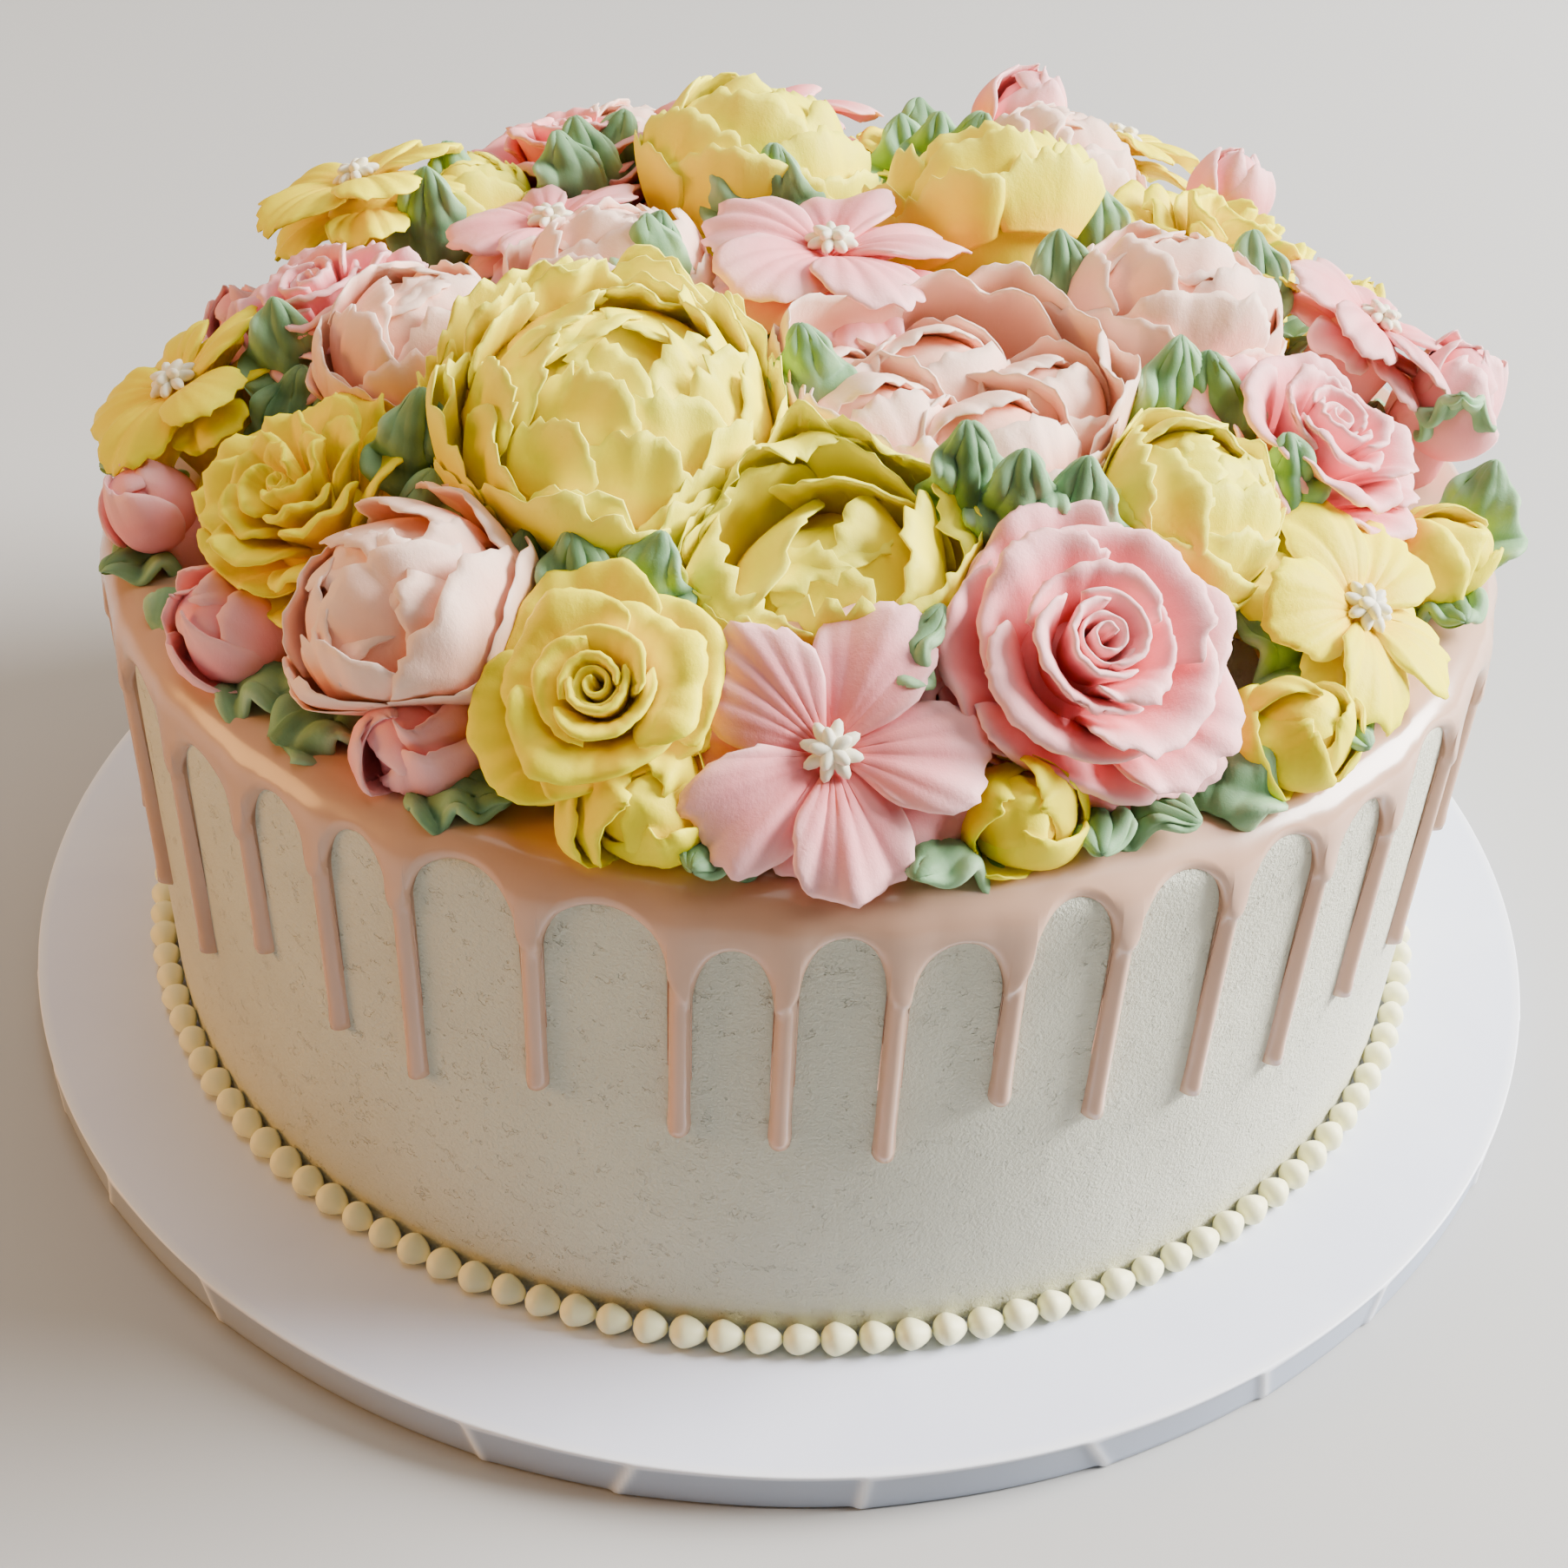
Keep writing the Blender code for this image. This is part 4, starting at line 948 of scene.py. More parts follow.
def over_rim(run):
    """Place (radius, height) and outward direction of the glaze at a distance from its inner edge."""
    turn = min(max(run - GLAZE_FLAT, 0.0), GLAZE_BEND) / GLAZE_CORNER
    radius = GLAZE_INNER_RADIUS + min(run, GLAZE_FLAT) + GLAZE_CORNER * math.sin(turn)
    height = GLAZE_TOP - GLAZE_CORNER * (1.0 - math.cos(turn)) - max(run - GLAZE_FLAT - GLAZE_BEND, 0.0)
    return np.array((radius, height)), np.array((math.sin(turn), math.cos(turn)))


def run_at(level):
    """Distance from the inner edge at which the glaze has come down to a height."""
    over_wall = level - (GLAZE_TOP - GLAZE_CORNER)
    if over_wall > 0.0:
        return GLAZE_FLAT + GLAZE_CORNER * math.acos(over_wall / GLAZE_CORNER)
    return GLAZE_FLAT + GLAZE_BEND - over_wall


def funnel(run, foot, beside):
    """How far a drip still stands out above its foot, wider and flatter towards the rim."""
    rise = min(1.0, max(0.0, (foot - run) / (foot - GLAZE_FLAT - 0.4 * GLAZE_BEND)))
    reach = beside / (DRIP_HALF_WIDTH * (1.0 + 2.6 * rise))
    return DRIP_PROUD * (1.0 - rise) ** 1.2 * max(0.0, 1.0 - reach ** 2) ** (0.5 + 1.5 * rise)


def glaze_column(turn, beside, end, foot, openness, tip=None):
    """One cut through the glaze as a closed loop: over the rim, down to its lip and back inside.

    Beside is the distance to the middle of the nearest drip, and openness is 1 where the lip
    runs level and 0 where it runs straight down.
    """
    split = min(GLAZE_FLAT + GLAZE_BEND, end - 1.3 * GLAZE_LIP)
    loop = []
    for run in np.concatenate((np.linspace(0.0, split, RIM_STEPS), np.linspace(split, end, LIP_STEPS)[1:])):
        (radius, height), (sideways, upward) = over_rim(run)
        above = min(1.0, (end - run) * (openness + EDGE_OPENNESS) / GLAZE_LIP)
        film = math.sqrt(1.0 - (1.0 - above) ** 2)
        stand = GLAZE_FILM * (film - 1.0) - GLAZE_SINK * (1.0 - above)
        stand += funnel(run, foot, abs(beside)) * (1.0 - 0.5 * film)
        loop.append((radius + stand * sideways, height + stand * upward, 0.0))
    depth = math.sqrt(max(0.0, 1.0 - (beside / DRIP_HALF_WIDTH) ** 2))
    low_radius, low, _ = loop[-1]
    for share in np.linspace(0.0, 1.0, DRIP_STEPS)[1:]:
        if tip is None:
            loop.append(loop[-1])
            continue
        height = low + share * (tip - low)
        bulb = 1.0 + 0.10 * math.exp(-((height - tip - 2.2 * MM) / (2.5 * MM)) ** 2)
        end_share = min(1.0, (height - tip) / (DRIP_HALF_WIDTH * 1.2))
        girth = bulb * math.sqrt(max(0.0, 1.0 - (1.0 - end_share) ** 2))
        loop.append((CAKE_RADIUS - GLAZE_SINK + depth * DRIP_PROUD * girth, height, (girth - 1.0) * beside))
    behind = low_radius if tip is None else CAKE_RADIUS
    loop.append((behind - GLAZE_ROOT, loop[-1][1], 0.0))
    loop.append((CAKE_RADIUS - 4.0 * MM, CAKE_TOP - 4.0 * MM, 0.0))
    loop.append((GLAZE_INNER_RADIUS, CAKE_TOP - 1.5 * MM, 0.0))
    loop.append((GLAZE_INNER_RADIUS - 0.6 * MM, CAKE_TOP + 0.6 * MM, 0.0))
    points = []
    for radius, height, aside in loop:
        angle = turn + aside / CAKE_RADIUS
        points.append((radius * math.cos(angle), radius * math.sin(angle), height))
    return points


def build_glaze(material):
    """Each drip and the arch after it, cut into columns round the cake."""
    drips = drip_list()
    tops = [run_at(arch) for _, _, arch in drips]
    feet = [top + ARCH_DEPTH for top in tops]
    columns = []
    for i, (angle, tip, _) in enumerate(drips):
        middle = math.radians(angle)
        for share in np.sin(np.linspace(-0.5 * math.pi, 0.5 * math.pi, ACROSS_DRIP)):
            foot = 0.5 * (feet[i - 1] + feet[i]) + 0.5 * share * (feet[i] - feet[i - 1])
            beside = share * DRIP_HALF_WIDTH
            depth = math.sqrt(max(0.0, 1.0 - share ** 2))
            columns.append(glaze_column(middle + beside / CAKE_RADIUS, beside, foot, foot, depth, tip))
        following = drips[(i + 1) % len(drips)][0]
        gap = math.radians((following - angle) % 360.0) * CAKE_RADIUS - 2.0 * DRIP_HALF_WIDTH
        for part in np.linspace(0.0, 1.0, ACROSS_ARCH)[1:-1]:
            place = 0.5 - 0.5 * math.cos(math.pi * part)
            rise = math.sqrt(1.0 - (2.0 * place - 1.0) ** 2)
            slope = 2.0 * ARCH_DEPTH / gap * abs(2.0 * place - 1.0) / rise
            from_drip = DRIP_HALF_WIDTH + place * gap
            beside = min(from_drip, gap + 2.0 * DRIP_HALF_WIDTH - from_drip)
            end = feet[i] - ARCH_DEPTH * rise
            columns.append(glaze_column(middle + from_drip / CAKE_RADIUS, beside, end, feet[i],
                                        1.0 / math.hypot(1.0, slope)))
    grid = np.array(columns)
    sculpture = Sculpture()
    sculpture.add(grid.reshape(-1, 3), wrapped_faces(*grid.shape[:2], closed_rows=True), 0.5, 0.0)
    piece = sculpture.to_object("dripping_glaze", material)
    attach(piece, "root")
    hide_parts("drip_glaze")


def build_board(material):
    """The board in its white wrap, whose pleats show round its side."""
    profile = [(1.0 * MM, BOARD_THICKNESS)]
    profile += [(radius, BOARD_THICKNESS) for radius in np.linspace(0.80, 0.985, 8) * BOARD_RADIUS]
    for turn in np.linspace(0.0, 0.5 * math.pi, 5):
        profile.append((BOARD_RADIUS - BOARD_EDGE * (1.0 - math.sin(turn)),
                        BOARD_THICKNESS - BOARD_EDGE * (1.0 - math.cos(turn))))
    side_heights = np.linspace(BOARD_THICKNESS - BOARD_EDGE, BOARD_EDGE, 9)[1:]
    profile += [(BOARD_RADIUS, height) for height in side_heights]
    profile += [(BOARD_RADIUS - BOARD_EDGE, 0.0), (1.0 * MM, 0.0)]
    grid, turns = turned_grid(profile, BOARD_COLUMNS)
    rng = np.random.default_rng(PLEAT_SEED)
    heights = grid[:, :, 2]
    inward = np.full_like(heights, PLEAT_DEPTH)
    painted_fold_highlight = np.zeros_like(heights)
    spread = rng.uniform(-0.32, 0.32, PLEAT_COUNT)
    for pleat in (np.arange(PLEAT_COUNT) + spread) * FULL_TURN / PLEAT_COUNT:
        slant = rng.uniform(-0.03, 0.03) * heights / BOARD_THICKNESS
        away = (turns[None, :] - pleat - slant + math.pi) % FULL_TURN - math.pi
        fold = np.where(away >= 0.0, np.exp(-away / rng.uniform(0.02, 0.06)), 0.0)
        crease = np.exp(-(away / 0.006) ** 2)
        inward -= PLEAT_DEPTH * (rng.uniform(0.7, 1.0) * fold * (1.0 - crease) + crease)
        painted_fold_highlight = np.maximum(painted_fold_highlight, crease)
    folded_edge = np.exp(-((BOARD_THICKNESS - heights) / (0.7 * MM)) ** 2)
    inward = np.maximum(inward, 0.0) * (1.0 - folded_edge)
    reach = np.hypot(grid[..., 0], grid[..., 1])
    side = np.clip((reach - 0.985 * BOARD_RADIUS) / (0.015 * BOARD_RADIUS), 0.0, 1.0)
    grid -= (side * inward)[..., None] * outward(turns)[None, :, :]
    # Painted highlight along the crease of each pleat and along the folded top edge.
    painted_fold_highlight = np.maximum(painted_fold_highlight, folded_edge) * side
    piece = turned_piece("wrapped_board", grid, material, painted_fold_highlight)
    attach(piece, "root")
    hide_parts("board")


# Nodes that the trees, groups and materials share.


def add_node(tree, kind, inputs=None, **settings):
    """Add a node; its inputs are given by name or number as values or as sockets to link."""
    node = tree.nodes.new(kind)
    for key, value in settings.items():
        setattr(node, key, value)
    for key, value in (inputs or {}).items():
        if isinstance(value, bpy.types.NodeSocket):
            tree.links.new(value, node.inputs[key])
        else:
            node.inputs[key].default_value = value
    return node


def maths(tree, operation, *values):
    return add_node(tree, "ShaderNodeMath", dict(enumerate(values)), operation=operation).outputs["Value"]


def combined(tree, x=0.0, y=0.0, z=0.0):
    return add_node(tree, "ShaderNodeCombineXYZ", {"X": x, "Y": y, "Z": z}).outputs["Vector"]


def remapped(tree, value, start, to=(0.0, 1.0)):
    """A value brought from one range to another and kept within it."""
    return add_node(tree, "ShaderNodeMapRange", {
        "Value": value, "From Min": start[0], "From Max": start[1], "To Min": to[0], "To Max": to[1],
    }).outputs["Result"]


# Geometry Nodes for what repeats.


def new_geometry_tree(name, inputs):
    """A tree with one geometry in and out and the named inputs, given as name, type and value."""
    tree = bpy.data.node_groups.new(name, "GeometryNodeTree")
    tree.interface.new_socket("Geometry", in_out="INPUT", socket_type="NodeSocketGeometry")
    tree.interface.new_socket("Geometry", in_out="OUTPUT", socket_type="NodeSocketGeometry")
    for label, kind, value in inputs:
        socket = tree.interface.new_socket(label, in_out="INPUT", socket_type=kind)
        socket.default_value = value
    return tree, tree.nodes.new("NodeGroupInput"), tree.nodes.new("NodeGroupOutput")


def random_vector(tree, given, low, high):
    return add_node(tree, "FunctionNodeRandomValue", {
        "Min": low, "Max": high, "Seed": given.outputs["Seed"],
    }, data_type="FLOAT_VECTOR").outputs["Value"]


def finish_tree(tree, result, geometry, material):
    """Make the instances real, smooth them and give them their material."""
    plain = add_node(tree, "GeometryNodeRealizeInstances", {"Geometry": geometry})
    smooth = add_node(tree, "GeometryNodeSetShadeSmooth", {"Geometry": plain.outputs["Geometry"]})
    finish = add_node(tree, "GeometryNodeSetMaterial", {
        "Geometry": smooth.outputs["Geometry"], "Material": material,
    })
    tree.links.new(finish.outputs["Geometry"], result.inputs["Geometry"])


def grown_mesh(name, mesh, tree, values):
    """Run a tree on a mesh with the given inputs and keep the result as a plain object."""
    maker = show(bpy.data.objects.new(name + "_maker", mesh))
    modifier = maker.modifiers.new("Grow", "NODES")
    modifier.node_group = tree
    sockets = {item.name: item.identifier for item in tree.interface.items_tree if item.in_out == "INPUT"}
    for label, value in values.items():
        modifier[sockets[label]] = value
    graph = bpy.context.evaluated_depsgraph_get()
    grown = bpy.data.meshes.new_from_object(maker.evaluated_get(graph))
    bpy.data.objects.remove(maker, do_unlink=True)
    grown.name = name
    return show(bpy.data.objects.new(name, grown))


def bead_drop(tree):
    """One bead of radius 1: a ball drawn out along X into a tail."""
    ball = add_node(tree, "GeometryNodeMeshUVSphere", {"Segments": 18, "Rings": 11, "Radius": 1.0})
    place = add_node(tree, "GeometryNodeInputPosition").outputs["Position"]
    ahead = add_node(tree, "ShaderNodeSeparateXYZ", {"Vector": place}).outputs["X"]
    thinned = remapped(tree, ahead, (-0.1, 1.0), (1.0, 0.80))
    stretched = remapped(tree, ahead, (-0.1, 1.0), (1.0, 1.30))
    scales = combined(tree, stretched, thinned, thinned)
    drawn = add_node(tree, "ShaderNodeVectorMath", {0: place, 1: scales}, operation="MULTIPLY")
    drop = add_node(tree, "GeometryNodeSetPosition", {
        "Geometry": ball.outputs["Mesh"], "Position": drawn.outputs["Vector"],
    })
    return drop.outputs["Geometry"]


def bead_tree(material):
    """Beads that follow each other round a ring, each a drop with its tail under the next."""
    tree, given, result = new_geometry_tree("Bead border", (
        ("Beads", "NodeSocketInt", 100), ("Ring Radius", "NodeSocketFloat", 0.1),
        ("Bead Radius", "NodeSocketFloat", 0.003), ("Height", "NodeSocketFloat", 0.0),
        ("Seed", "NodeSocketInt", 1),
    ))
    ring = add_node(tree, "GeometryNodeCurvePrimitiveCircle", {
        "Resolution": 256, "Radius": given.outputs["Ring Radius"],
    })
    spaced = add_node(tree, "GeometryNodeResampleCurve", {
        "Curve": ring.outputs["Curve"], "Count": given.outputs["Beads"],
    })
    tangent = add_node(tree, "GeometryNodeInputTangent").outputs["Tangent"]
    aim = add_node(tree, "FunctionNodeAlignRotationToVector", {"Vector": tangent}, axis="X")
    spread = random_vector(tree, given, (0.93, 0.93, 0.90), (1.04, 1.06, 1.08))
    sized = add_node(tree, "ShaderNodeVectorMath", {0: spread, "Scale": given.outputs["Bead Radius"]},
                     operation="SCALE")
    beads = add_node(tree, "GeometryNodeInstanceOnPoints", {
        "Points": spaced.outputs["Curve"], "Instance": bead_drop(tree),
        "Rotation": aim.outputs["Rotation"], "Scale": sized.outputs["Vector"],
    })
    raised = add_node(tree, "GeometryNodeTransform", {
        "Geometry": beads.outputs["Instances"], "Translation": combined(tree, z=given.outputs["Height"]),
    })
    finish_tree(tree, result, raised.outputs["Geometry"], material)
    return tree


def build_beads(material):
    values = {"Beads": BEAD_COUNT, "Ring Radius": BEAD_CIRCLE, "Bead Radius": BEAD_RADIUS,
              "Height": BOARD_THICKNESS + 0.92 * BEAD_RADIUS, "Seed": BEAD_SEED}
    piece = grown_mesh("piped_beads", bpy.data.meshes.new("ring"), bead_tree(material), values)
    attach(piece, "root")
    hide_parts("bead_border")


def prong_ring(tree, given, count, inner, lift, tilt):
    """One tier of prongs that point outwards from the middle of a star."""
    ball = add_node(tree, "GeometryNodeMeshUVSphere", {"Segments": 10, "Rings": 9, "Radius": 1.0})
    width = given.outputs["Prong Width"]
    shape = combined(tree, given.outputs["Prong Length"], width, width)
    prong = add_node(tree, "GeometryNodeTransform", {
        "Geometry": ball.outputs["Mesh"], "Scale": shape,
        "Translation": (inner, 0.0, lift), "Rotation": (0.0, tilt, 0.0),
    })
    spots = add_node(tree, "GeometryNodePoints", {"Count": count})
    number = add_node(tree, "GeometryNodeInputIndex").outputs["Index"]
    spin = combined(tree, z=maths(tree, "MULTIPLY", number, FULL_TURN / count))
    turned = add_node(tree, "FunctionNodeEulerToRotation", {"Euler": spin})
    ring = add_node(tree, "GeometryNodeInstanceOnPoints", {
        "Points": spots.outputs[0], "Instance": prong.outputs["Geometry"],
        "Rotation": turned.outputs["Rotation"],
    })
    return ring.outputs["Instances"]


def star_tree(material):
    """A piped star on each point, pointing along the point's axis attribute."""
    tree, given, result = new_geometry_tree("Blossom star", (
        ("Prong Length", "NodeSocketFloat", 0.002), ("Prong Width", "NodeSocketFloat", 0.0008),
        ("Seed", "NodeSocketInt", 1),
    ))
    star = add_node(tree, "GeometryNodeJoinGeometry")
    for tier in STAR_TIERS:
        tree.links.new(prong_ring(tree, given, *tier), star.inputs[0])
    axis = add_node(tree, "GeometryNodeInputNamedAttribute", {"Name": "axis"}, data_type="FLOAT_VECTOR")
    aim = add_node(tree, "FunctionNodeAlignRotationToVector", {"Vector": axis.outputs["Attribute"]}, axis="Z")
    spin = random_vector(tree, given, (-0.1, -0.1, 0.0), (0.1, 0.1, 3.0))
    twist = add_node(tree, "FunctionNodeEulerToRotation", {"Euler": spin})
    turned = add_node(tree, "FunctionNodeRotateRotation", {
        "Rotation": aim.outputs["Rotation"], "Rotate By": twist.outputs["Rotation"],
    }, rotation_space="LOCAL")
    spots = add_node(tree, "GeometryNodeMeshToPoints", {"Mesh": given.outputs["Geometry"]})
    stars = add_node(tree, "GeometryNodeInstanceOnPoints", {
        "Points": spots.outputs["Points"], "Instance": star.outputs["Geometry"],
        "Rotation": turned.outputs["Rotation"],
    })
    finish_tree(tree, result, stars.outputs["Instances"], material)
    return tree


def build_stars(blooms, material):
    blossoms = [bloom for bloom in blooms if bloom.form is FORMS["blossom"]]
    mesh = bpy.data.meshes.new("hearts")
    mesh.from_pydata([bloom.heart + 0.2 * MM * bloom.axis for bloom in blossoms], [], [])
    layer = mesh.attributes.new("axis", "FLOAT_VECTOR", "POINT")
    layer.data.foreach_set("vector", np.concatenate([bloom.axis for bloom in blossoms]))
    values = {"Prong Length": PRONG_LENGTH, "Prong Width": PRONG_WIDTH, "Seed": STAR_SEED}
    piece = grown_mesh("blossom_stars", mesh, star_tree(material), values)
    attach(piece, "root")


# Materials.


def new_shader_group(name, inputs, outputs):
    group = bpy.data.node_groups.new(name, "ShaderNodeTree")
    for label, kind, value in inputs:
        socket = group.interface.new_socket(label, in_out="INPUT", socket_type=kind)
        socket.default_value = value
    for label, kind in outputs:
        group.interface.new_socket(label, in_out="OUTPUT", socket_type=kind)
    return group, group.nodes.new("NodeGroupInput"), group.nodes.new("NodeGroupOutput")


def noise(tree, place, scale, detail, roughness=0.5, distortion=0.0):
    return add_node(tree, "ShaderNodeTexNoise", {
        "Vector": place, "Scale": scale, "Detail": detail, "Roughness": roughness, "Distortion": distortion,
    }).outputs["Fac"]


def mixed(tree, factor, first, second, blend="MIX"):
    """A mix of two colours. The node has sockets of one name for each type, so they go by number."""
    mix = add_node(tree, "ShaderNodeMix", data_type="RGBA", blend_type=blend)
    for number, value in ((0, factor), (6, first), (7, second)):
        if isinstance(value, bpy.types.NodeSocket):
            tree.links.new(value, mix.inputs[number])
        else:
            mix.inputs[number].default_value = value
    return mix.outputs[2]


def cream_grain_group():
    """Fine pits and soft smears of whipped buttercream, as a height."""
    group, given, result = new_shader_group("Cream grain", (
        ("Pits", "NodeSocketFloat", 700.0), ("Smears", "NodeSocketFloat", 120.0),
        ("Pit Level", "NodeSocketFloat", 0.7), ("Grain", "NodeSocketFloat", 1500.0),
        ("Grain Depth", "NodeSocketFloat", 0.2),
    ), (("Height", "NodeSocketFloat"), ))
    place = add_node(group, "ShaderNodeTexCoord").outputs["Object"]
    drawn = add_node(group, "ShaderNodeMapping", {"Vector": place, "Scale": (1.0, 1.0, 0.45)})
    smears = noise(group, drawn.outputs["Vector"], given.outputs["Smears"], 4.0, 0.6)
    fine = noise(group, place, given.outputs["Grain"], 3.0, 0.7)
    torn = noise(group, place, given.outputs["Pits"], 3.0, 0.7)
    pits = maths(group, "SUBTRACT", torn, given.outputs["Pit Level"])
    filled = remapped(group, pits, (0.0, 0.02), (1.0, 0.0))
    soft = maths(group, "ADD", smears, filled)
    height = maths(group, "MULTIPLY_ADD", fine, given.outputs["Grain Depth"], soft)
    group.links.new(height, result.inputs["Height"])
    return group


def piped_tone_group():
    """Colour of piped buttercream: painted shade in the recess, painted light along the thin edge, unevenly
    toned at random between.
    """
    group, given, result = new_shader_group("Piped tone", (
        ("Painted Shade", "NodeSocketColor", (0.5, 0.1, 0.1, 1.0)), ("Body", "NodeSocketColor", (0.8, 0.3, 0.3, 1.0)),
        ("Edge", "NodeSocketColor", (0.9, 0.5, 0.5, 1.0)),
    ), (("Color", "NodeSocketColor"), ))
    edge = add_node(group, "ShaderNodeAttribute", attribute_name="edge").outputs["Fac"]
    shade = add_node(group, "ShaderNodeAttribute", attribute_name="shade").outputs["Fac"]
    place = add_node(group, "ShaderNodeTexCoord").outputs["Object"]
    drift = remapped(group, noise(group, place, 140.0, 3.0), (0.0, 1.0), (-0.12, 0.12))
    level = maths(group, "ADD", edge, drift)
    # Painted shade in the recess, blending to the body colour.
    body = mixed(group, remapped(group, level, (0.0, 0.45)), given.outputs["Painted Shade"], given.outputs["Body"])
    # Painted light along the thin edge.
    toned = mixed(group, remapped(group, level, (0.6, 1.0)), body, given.outputs["Edge"])
    uneven = remapped(group, shade, (-1.0, 1.0), (0.93, 1.05))
    grey = add_node(group, "ShaderNodeCombineColor", {"Red": uneven, "Green": uneven, "Blue": uneven})
    varied = mixed(group, 1.0, toned, grey.outputs["Color"], "MULTIPLY")
    group.links.new(varied, result.inputs["Color"])
    return group


def new_material(name):
    material = bpy.data.materials.new(name)
    material.use_nodes = True
    return material, material.node_tree, material.node_tree.nodes["Principled BSDF"]


def set_inputs(node, values):
    for label, value in values.items():
        node.inputs[label].default_value = value


def link_surface(tree, shader, colour, height, strength, distance):
    """Give a shader its colour and its fine relief."""
    tree.links.new(colour, shader.inputs["Base Color"])
    bump = add_node(tree, "ShaderNodeBump", {"Height": height, "Strength": strength, "Distance": distance})
    tree.links.new(bump.outputs["Normal"], shader.inputs["Normal"])


def petal_material(name, colours, groups):
    """Piped buttercream petals and leaves: painted shade towards the base and painted light towards the edge
    of each petal, finely pitted, softly lit.
    """
    material, tree, shader = new_material(name)
    # Painted shade for the recess, the body colour, and painted light for the thin edge.
    deep, body, edge = ((*colour, 1.0) for colour in colours)
    tones = {"Painted Shade": deep, "Body": body, "Edge": edge}
    tone = add_node(tree, "ShaderNodeGroup", tones, node_tree=groups["tone"])
    grain = add_node(tree, "ShaderNodeGroup", PETAL_GRAIN, node_tree=groups["grain"])
    link_surface(tree, shader, tone.outputs["Color"], grain.outputs["Height"], 0.40, 0.35 * MM)
    set_inputs(shader, {
        "Roughness": 0.52, "Specular IOR Level": 0.16, "Subsurface Weight": 0.12,
        "Subsurface Radius": (1.0, 0.7, 0.4), "Subsurface Scale": 1.2 * MM,
    })
    return material


def cream_material(name, cream, groups):
    """Smoothed or poured cream: one colour with soft clouds, pitted and grained."""
    material, tree, shader = new_material(name)
    grain = add_node(tree, "ShaderNodeGroup", {
        "Pits": cream.pits, "Smears": cream.smears,
        "Pit Level": cream.pit_level, "Grain Depth": cream.grain_depth,
    }, node_tree=groups["grain"])
    place = add_node(tree, "ShaderNodeTexCoord").outputs["Object"]
    drift = remapped(tree, noise(tree, place, 28.0, 4.0), (0.35, 0.65))
    base = mixed(tree, drift, (*cream.light, 1.0), (*cream.dark, 1.0))
    link_surface(tree, shader, base, grain.outputs["Height"], cream.relief, 0.4 * MM)
    set_inputs(shader, {
        "Roughness": cream.roughness, "Specular IOR Level": 0.4, "Subsurface Weight": 0.08,
        "Subsurface Radius": (1.0, 0.8, 0.6), "Subsurface Scale": 1.5 * MM,
    })
    return material


def wrap_material():
    """White foil-like paper wrap with faint wrinkles, with painted shade round the side and a painted
    highlight on its folds.
    """
    material, tree, shader = new_material("board_wrap")
    place = add_node(tree, "ShaderNodeTexCoord").outputs["Object"]
    wrinkles = noise(tree, place, 34.0, 5.0, distortion=0.6)
    fibre = noise(tree, place, 900.0, 2.0)
    relief = maths(tree, "MULTIPLY_ADD", fibre, 0.08, wrinkles)
    top = mixed(tree, remapped(tree, wrinkles, (0.3, 0.7)), *WRAP_TOP)
    # Painted shade on the side, below the folded top edge.
    height = add_node(tree, "ShaderNodeSeparateXYZ", {"Vector": place}).outputs["Z"]
    over_side = remapped(tree, height, (BOARD_THICKNESS - 1.3 * MM, BOARD_THICKNESS - 0.7 * MM))
    sides = mixed(tree, over_side, WRAP_SIDE_PAINTED_SHADE, top)
    # Painted highlight where the pleats and the top edge fold.
    fold = add_node(tree, "ShaderNodeAttribute", attribute_name="edge").outputs["Fac"]
    link_surface(tree, shader, mixed(tree, fold, sides, WRAP_FOLD_PAINTED_HIGHLIGHT), relief, 0.25, 0.5 * MM)
    shader.inputs["Roughness"].default_value = 0.42
    return material


def make_materials():
    groups = {"grain": cream_grain_group(), "tone": piped_tone_group()}
    materials = {
        colour: petal_material("cream_" + colour.replace(" ", "_"), tones, groups)
        for colour, tones in PETAL_COLOURS.items()
    }
    materials["leaf"] = petal_material("cream_sage", LEAF_COLOURS, groups)
    for name, cream in CREAMS.items():
        materials[name] = cream_material(name, cream, groups)
    set_inputs(materials["glaze_peach"].node_tree.nodes["Principled BSDF"], GLAZE_COAT)
    materials["board"] = wrap_material()
    return materials


# Floor, light and camera.


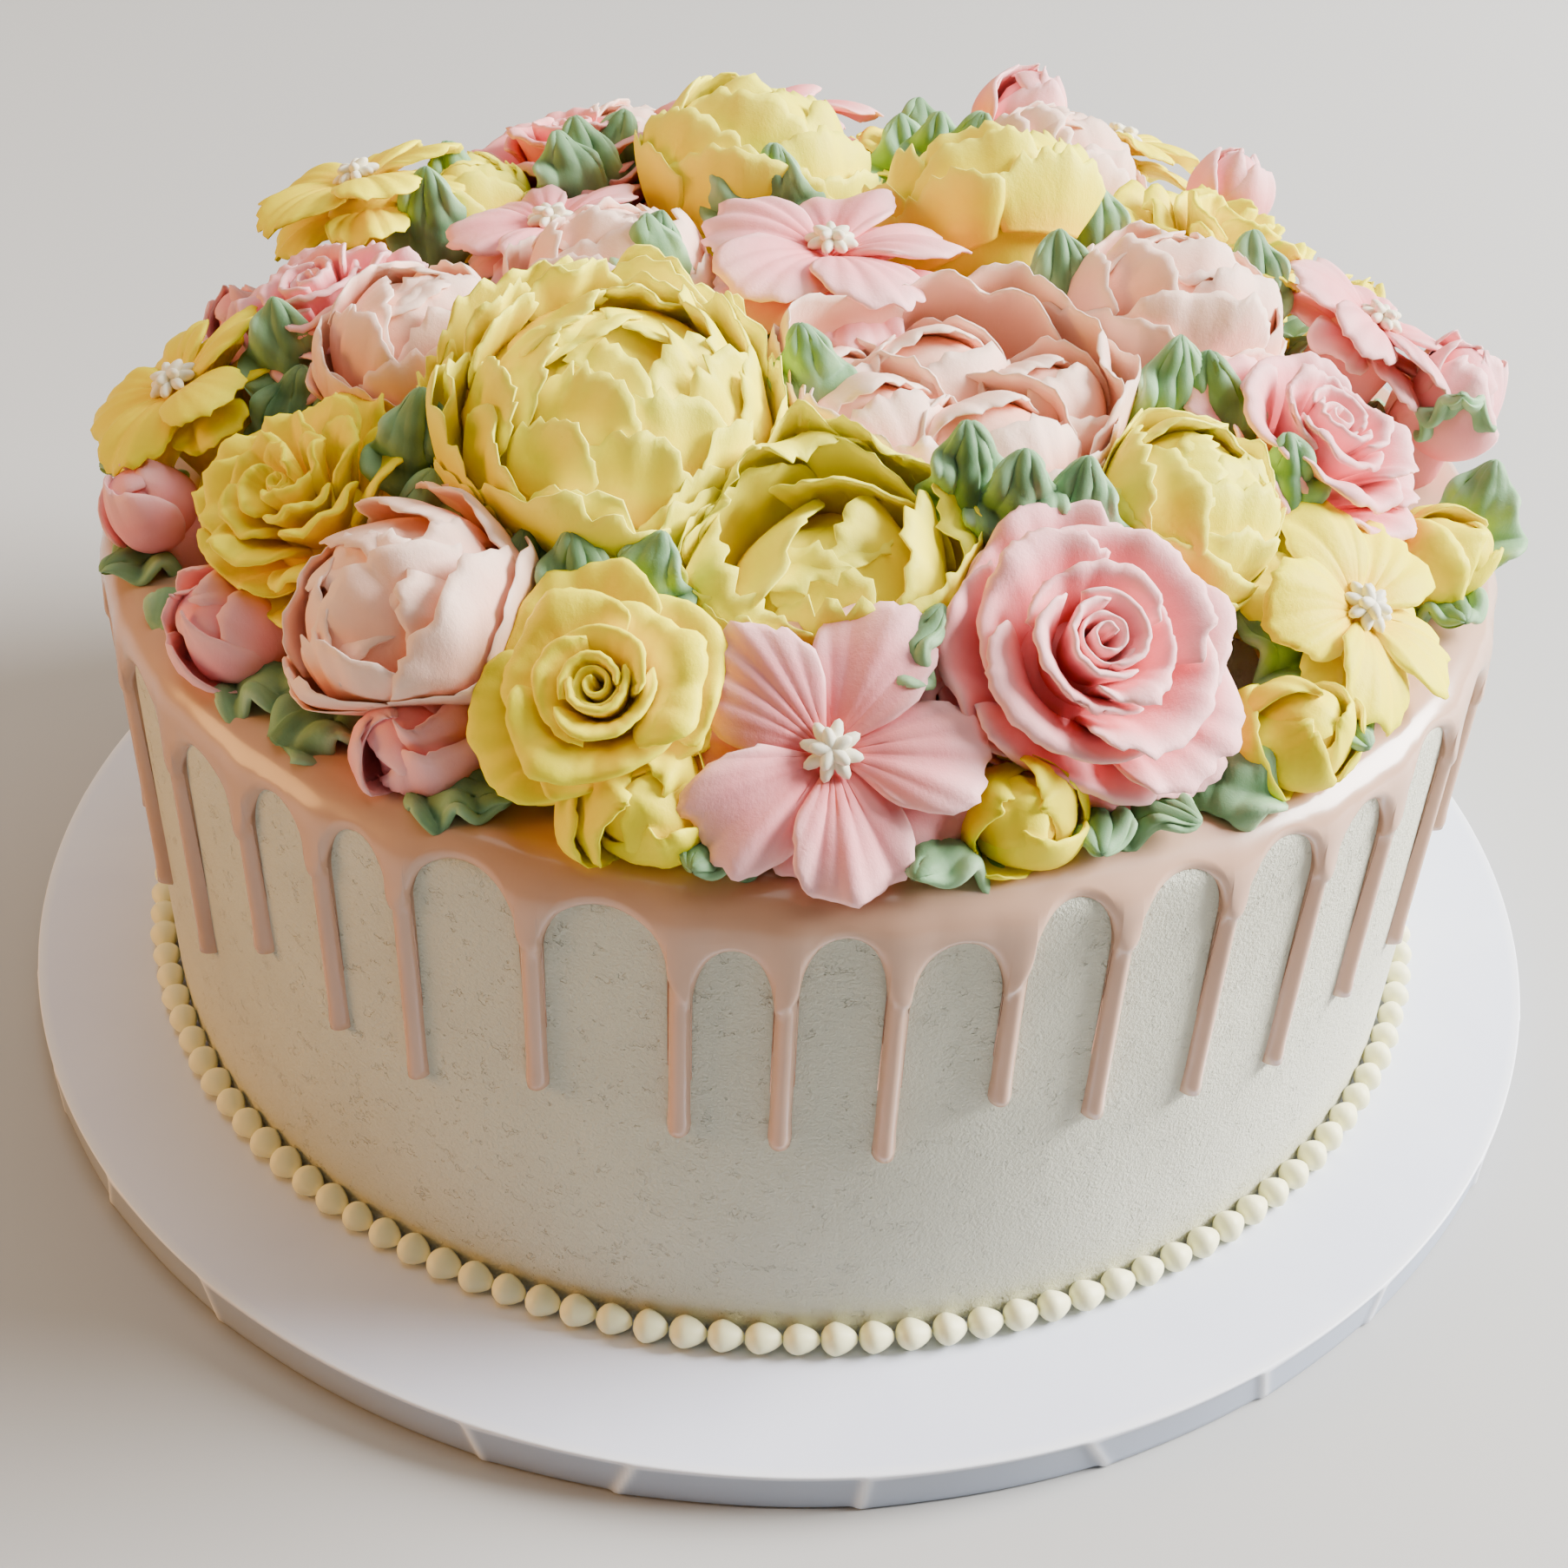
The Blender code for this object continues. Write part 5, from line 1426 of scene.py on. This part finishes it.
def build_floor():
    material, _, shader = new_material("floor_pale")
    set_inputs(shader, {"Base Color": (*FLOOR_COLOUR, 1.0), "Roughness": 0.7})
    mesh = bpy.data.meshes.new("floor")
    corners = [(FLOOR_REACH * x, FLOOR_REACH * y, 0.0) for x, y in ((-1, -1), (1, -1), (1, 1), (-1, 1))]
    mesh.from_pydata(corners, [], [(0, 1, 2, 3)])
    mesh.materials.append(material)
    show(bpy.data.objects.new("floor", mesh))


def add_lamp(light, place):
    """Put a light at a place from which it shines towards the cake."""
    lamp = show(bpy.data.objects.new(light.name, light))
    lamp.location = place
    lamp.rotation_euler = Vector(place).to_track_quat("Z", "Y").to_euler()


def build_lights():
    world = bpy.data.worlds.new("studio")
    bpy.context.scene.world = world
    world.use_nodes = True
    set_inputs(world.node_tree.nodes["Background"], {"Color": ROOM_COLOUR, "Strength": ROOM_STRENGTH})
    for name, place, size, power, colour in LAMPS:
        light = bpy.data.lights.new(name, "AREA")
        light.shape = "DISK"
        light.size = size
        light.energy = power
        light.color = colour
        add_lamp(light, place)
    ceiling = bpy.data.lights.new("ceiling", "SUN")
    ceiling.energy = CEILING_STRENGTH
    ceiling.angle = math.radians(CEILING_SPREAD)
    ceiling.color = CEILING_COLOUR
    add_lamp(ceiling, CEILING_FROM)


def build_camera():
    """Camera that looks down at the cake, turned by its yaw, pitch and roll."""
    yaw, pitch, roll = (math.radians(angle) for angle in (CAMERA_YAW, CAMERA_PITCH, CAMERA_ROLL))
    ahead = Vector((math.sin(yaw) * math.cos(pitch), math.cos(yaw) * math.cos(pitch), -math.sin(pitch)))
    right = Vector((math.cos(yaw), -math.sin(yaw), 0.0))
    up = right.cross(ahead)
    camera_x = math.cos(roll) * right + math.sin(roll) * up
    camera_y = math.cos(roll) * up - math.sin(roll) * right
    turn = Matrix((camera_x, camera_y, -ahead)).transposed().to_4x4()
    data = bpy.data.cameras.new("camera")
    data.lens = CAMERA_LENS
    data.sensor_width = 36.0
    camera = show(bpy.data.objects.new("camera", data))
    camera.matrix_world = Matrix.Translation(CAMERA_PLACE) @ turn
    bpy.context.scene.camera = camera


def main():
    materials = make_materials()
    build_board(materials["board"])
    build_cake(materials["icing_ivory"])
    build_glaze(materials["glaze_peach"])
    build_beads(materials["bead_cream"])
    blooms = build_flowers(materials)
    build_stars(blooms, materials["star_cream"])
    build_leaves(blooms, materials["leaf"])
    build_floor()
    build_lights()
    build_camera()


main()
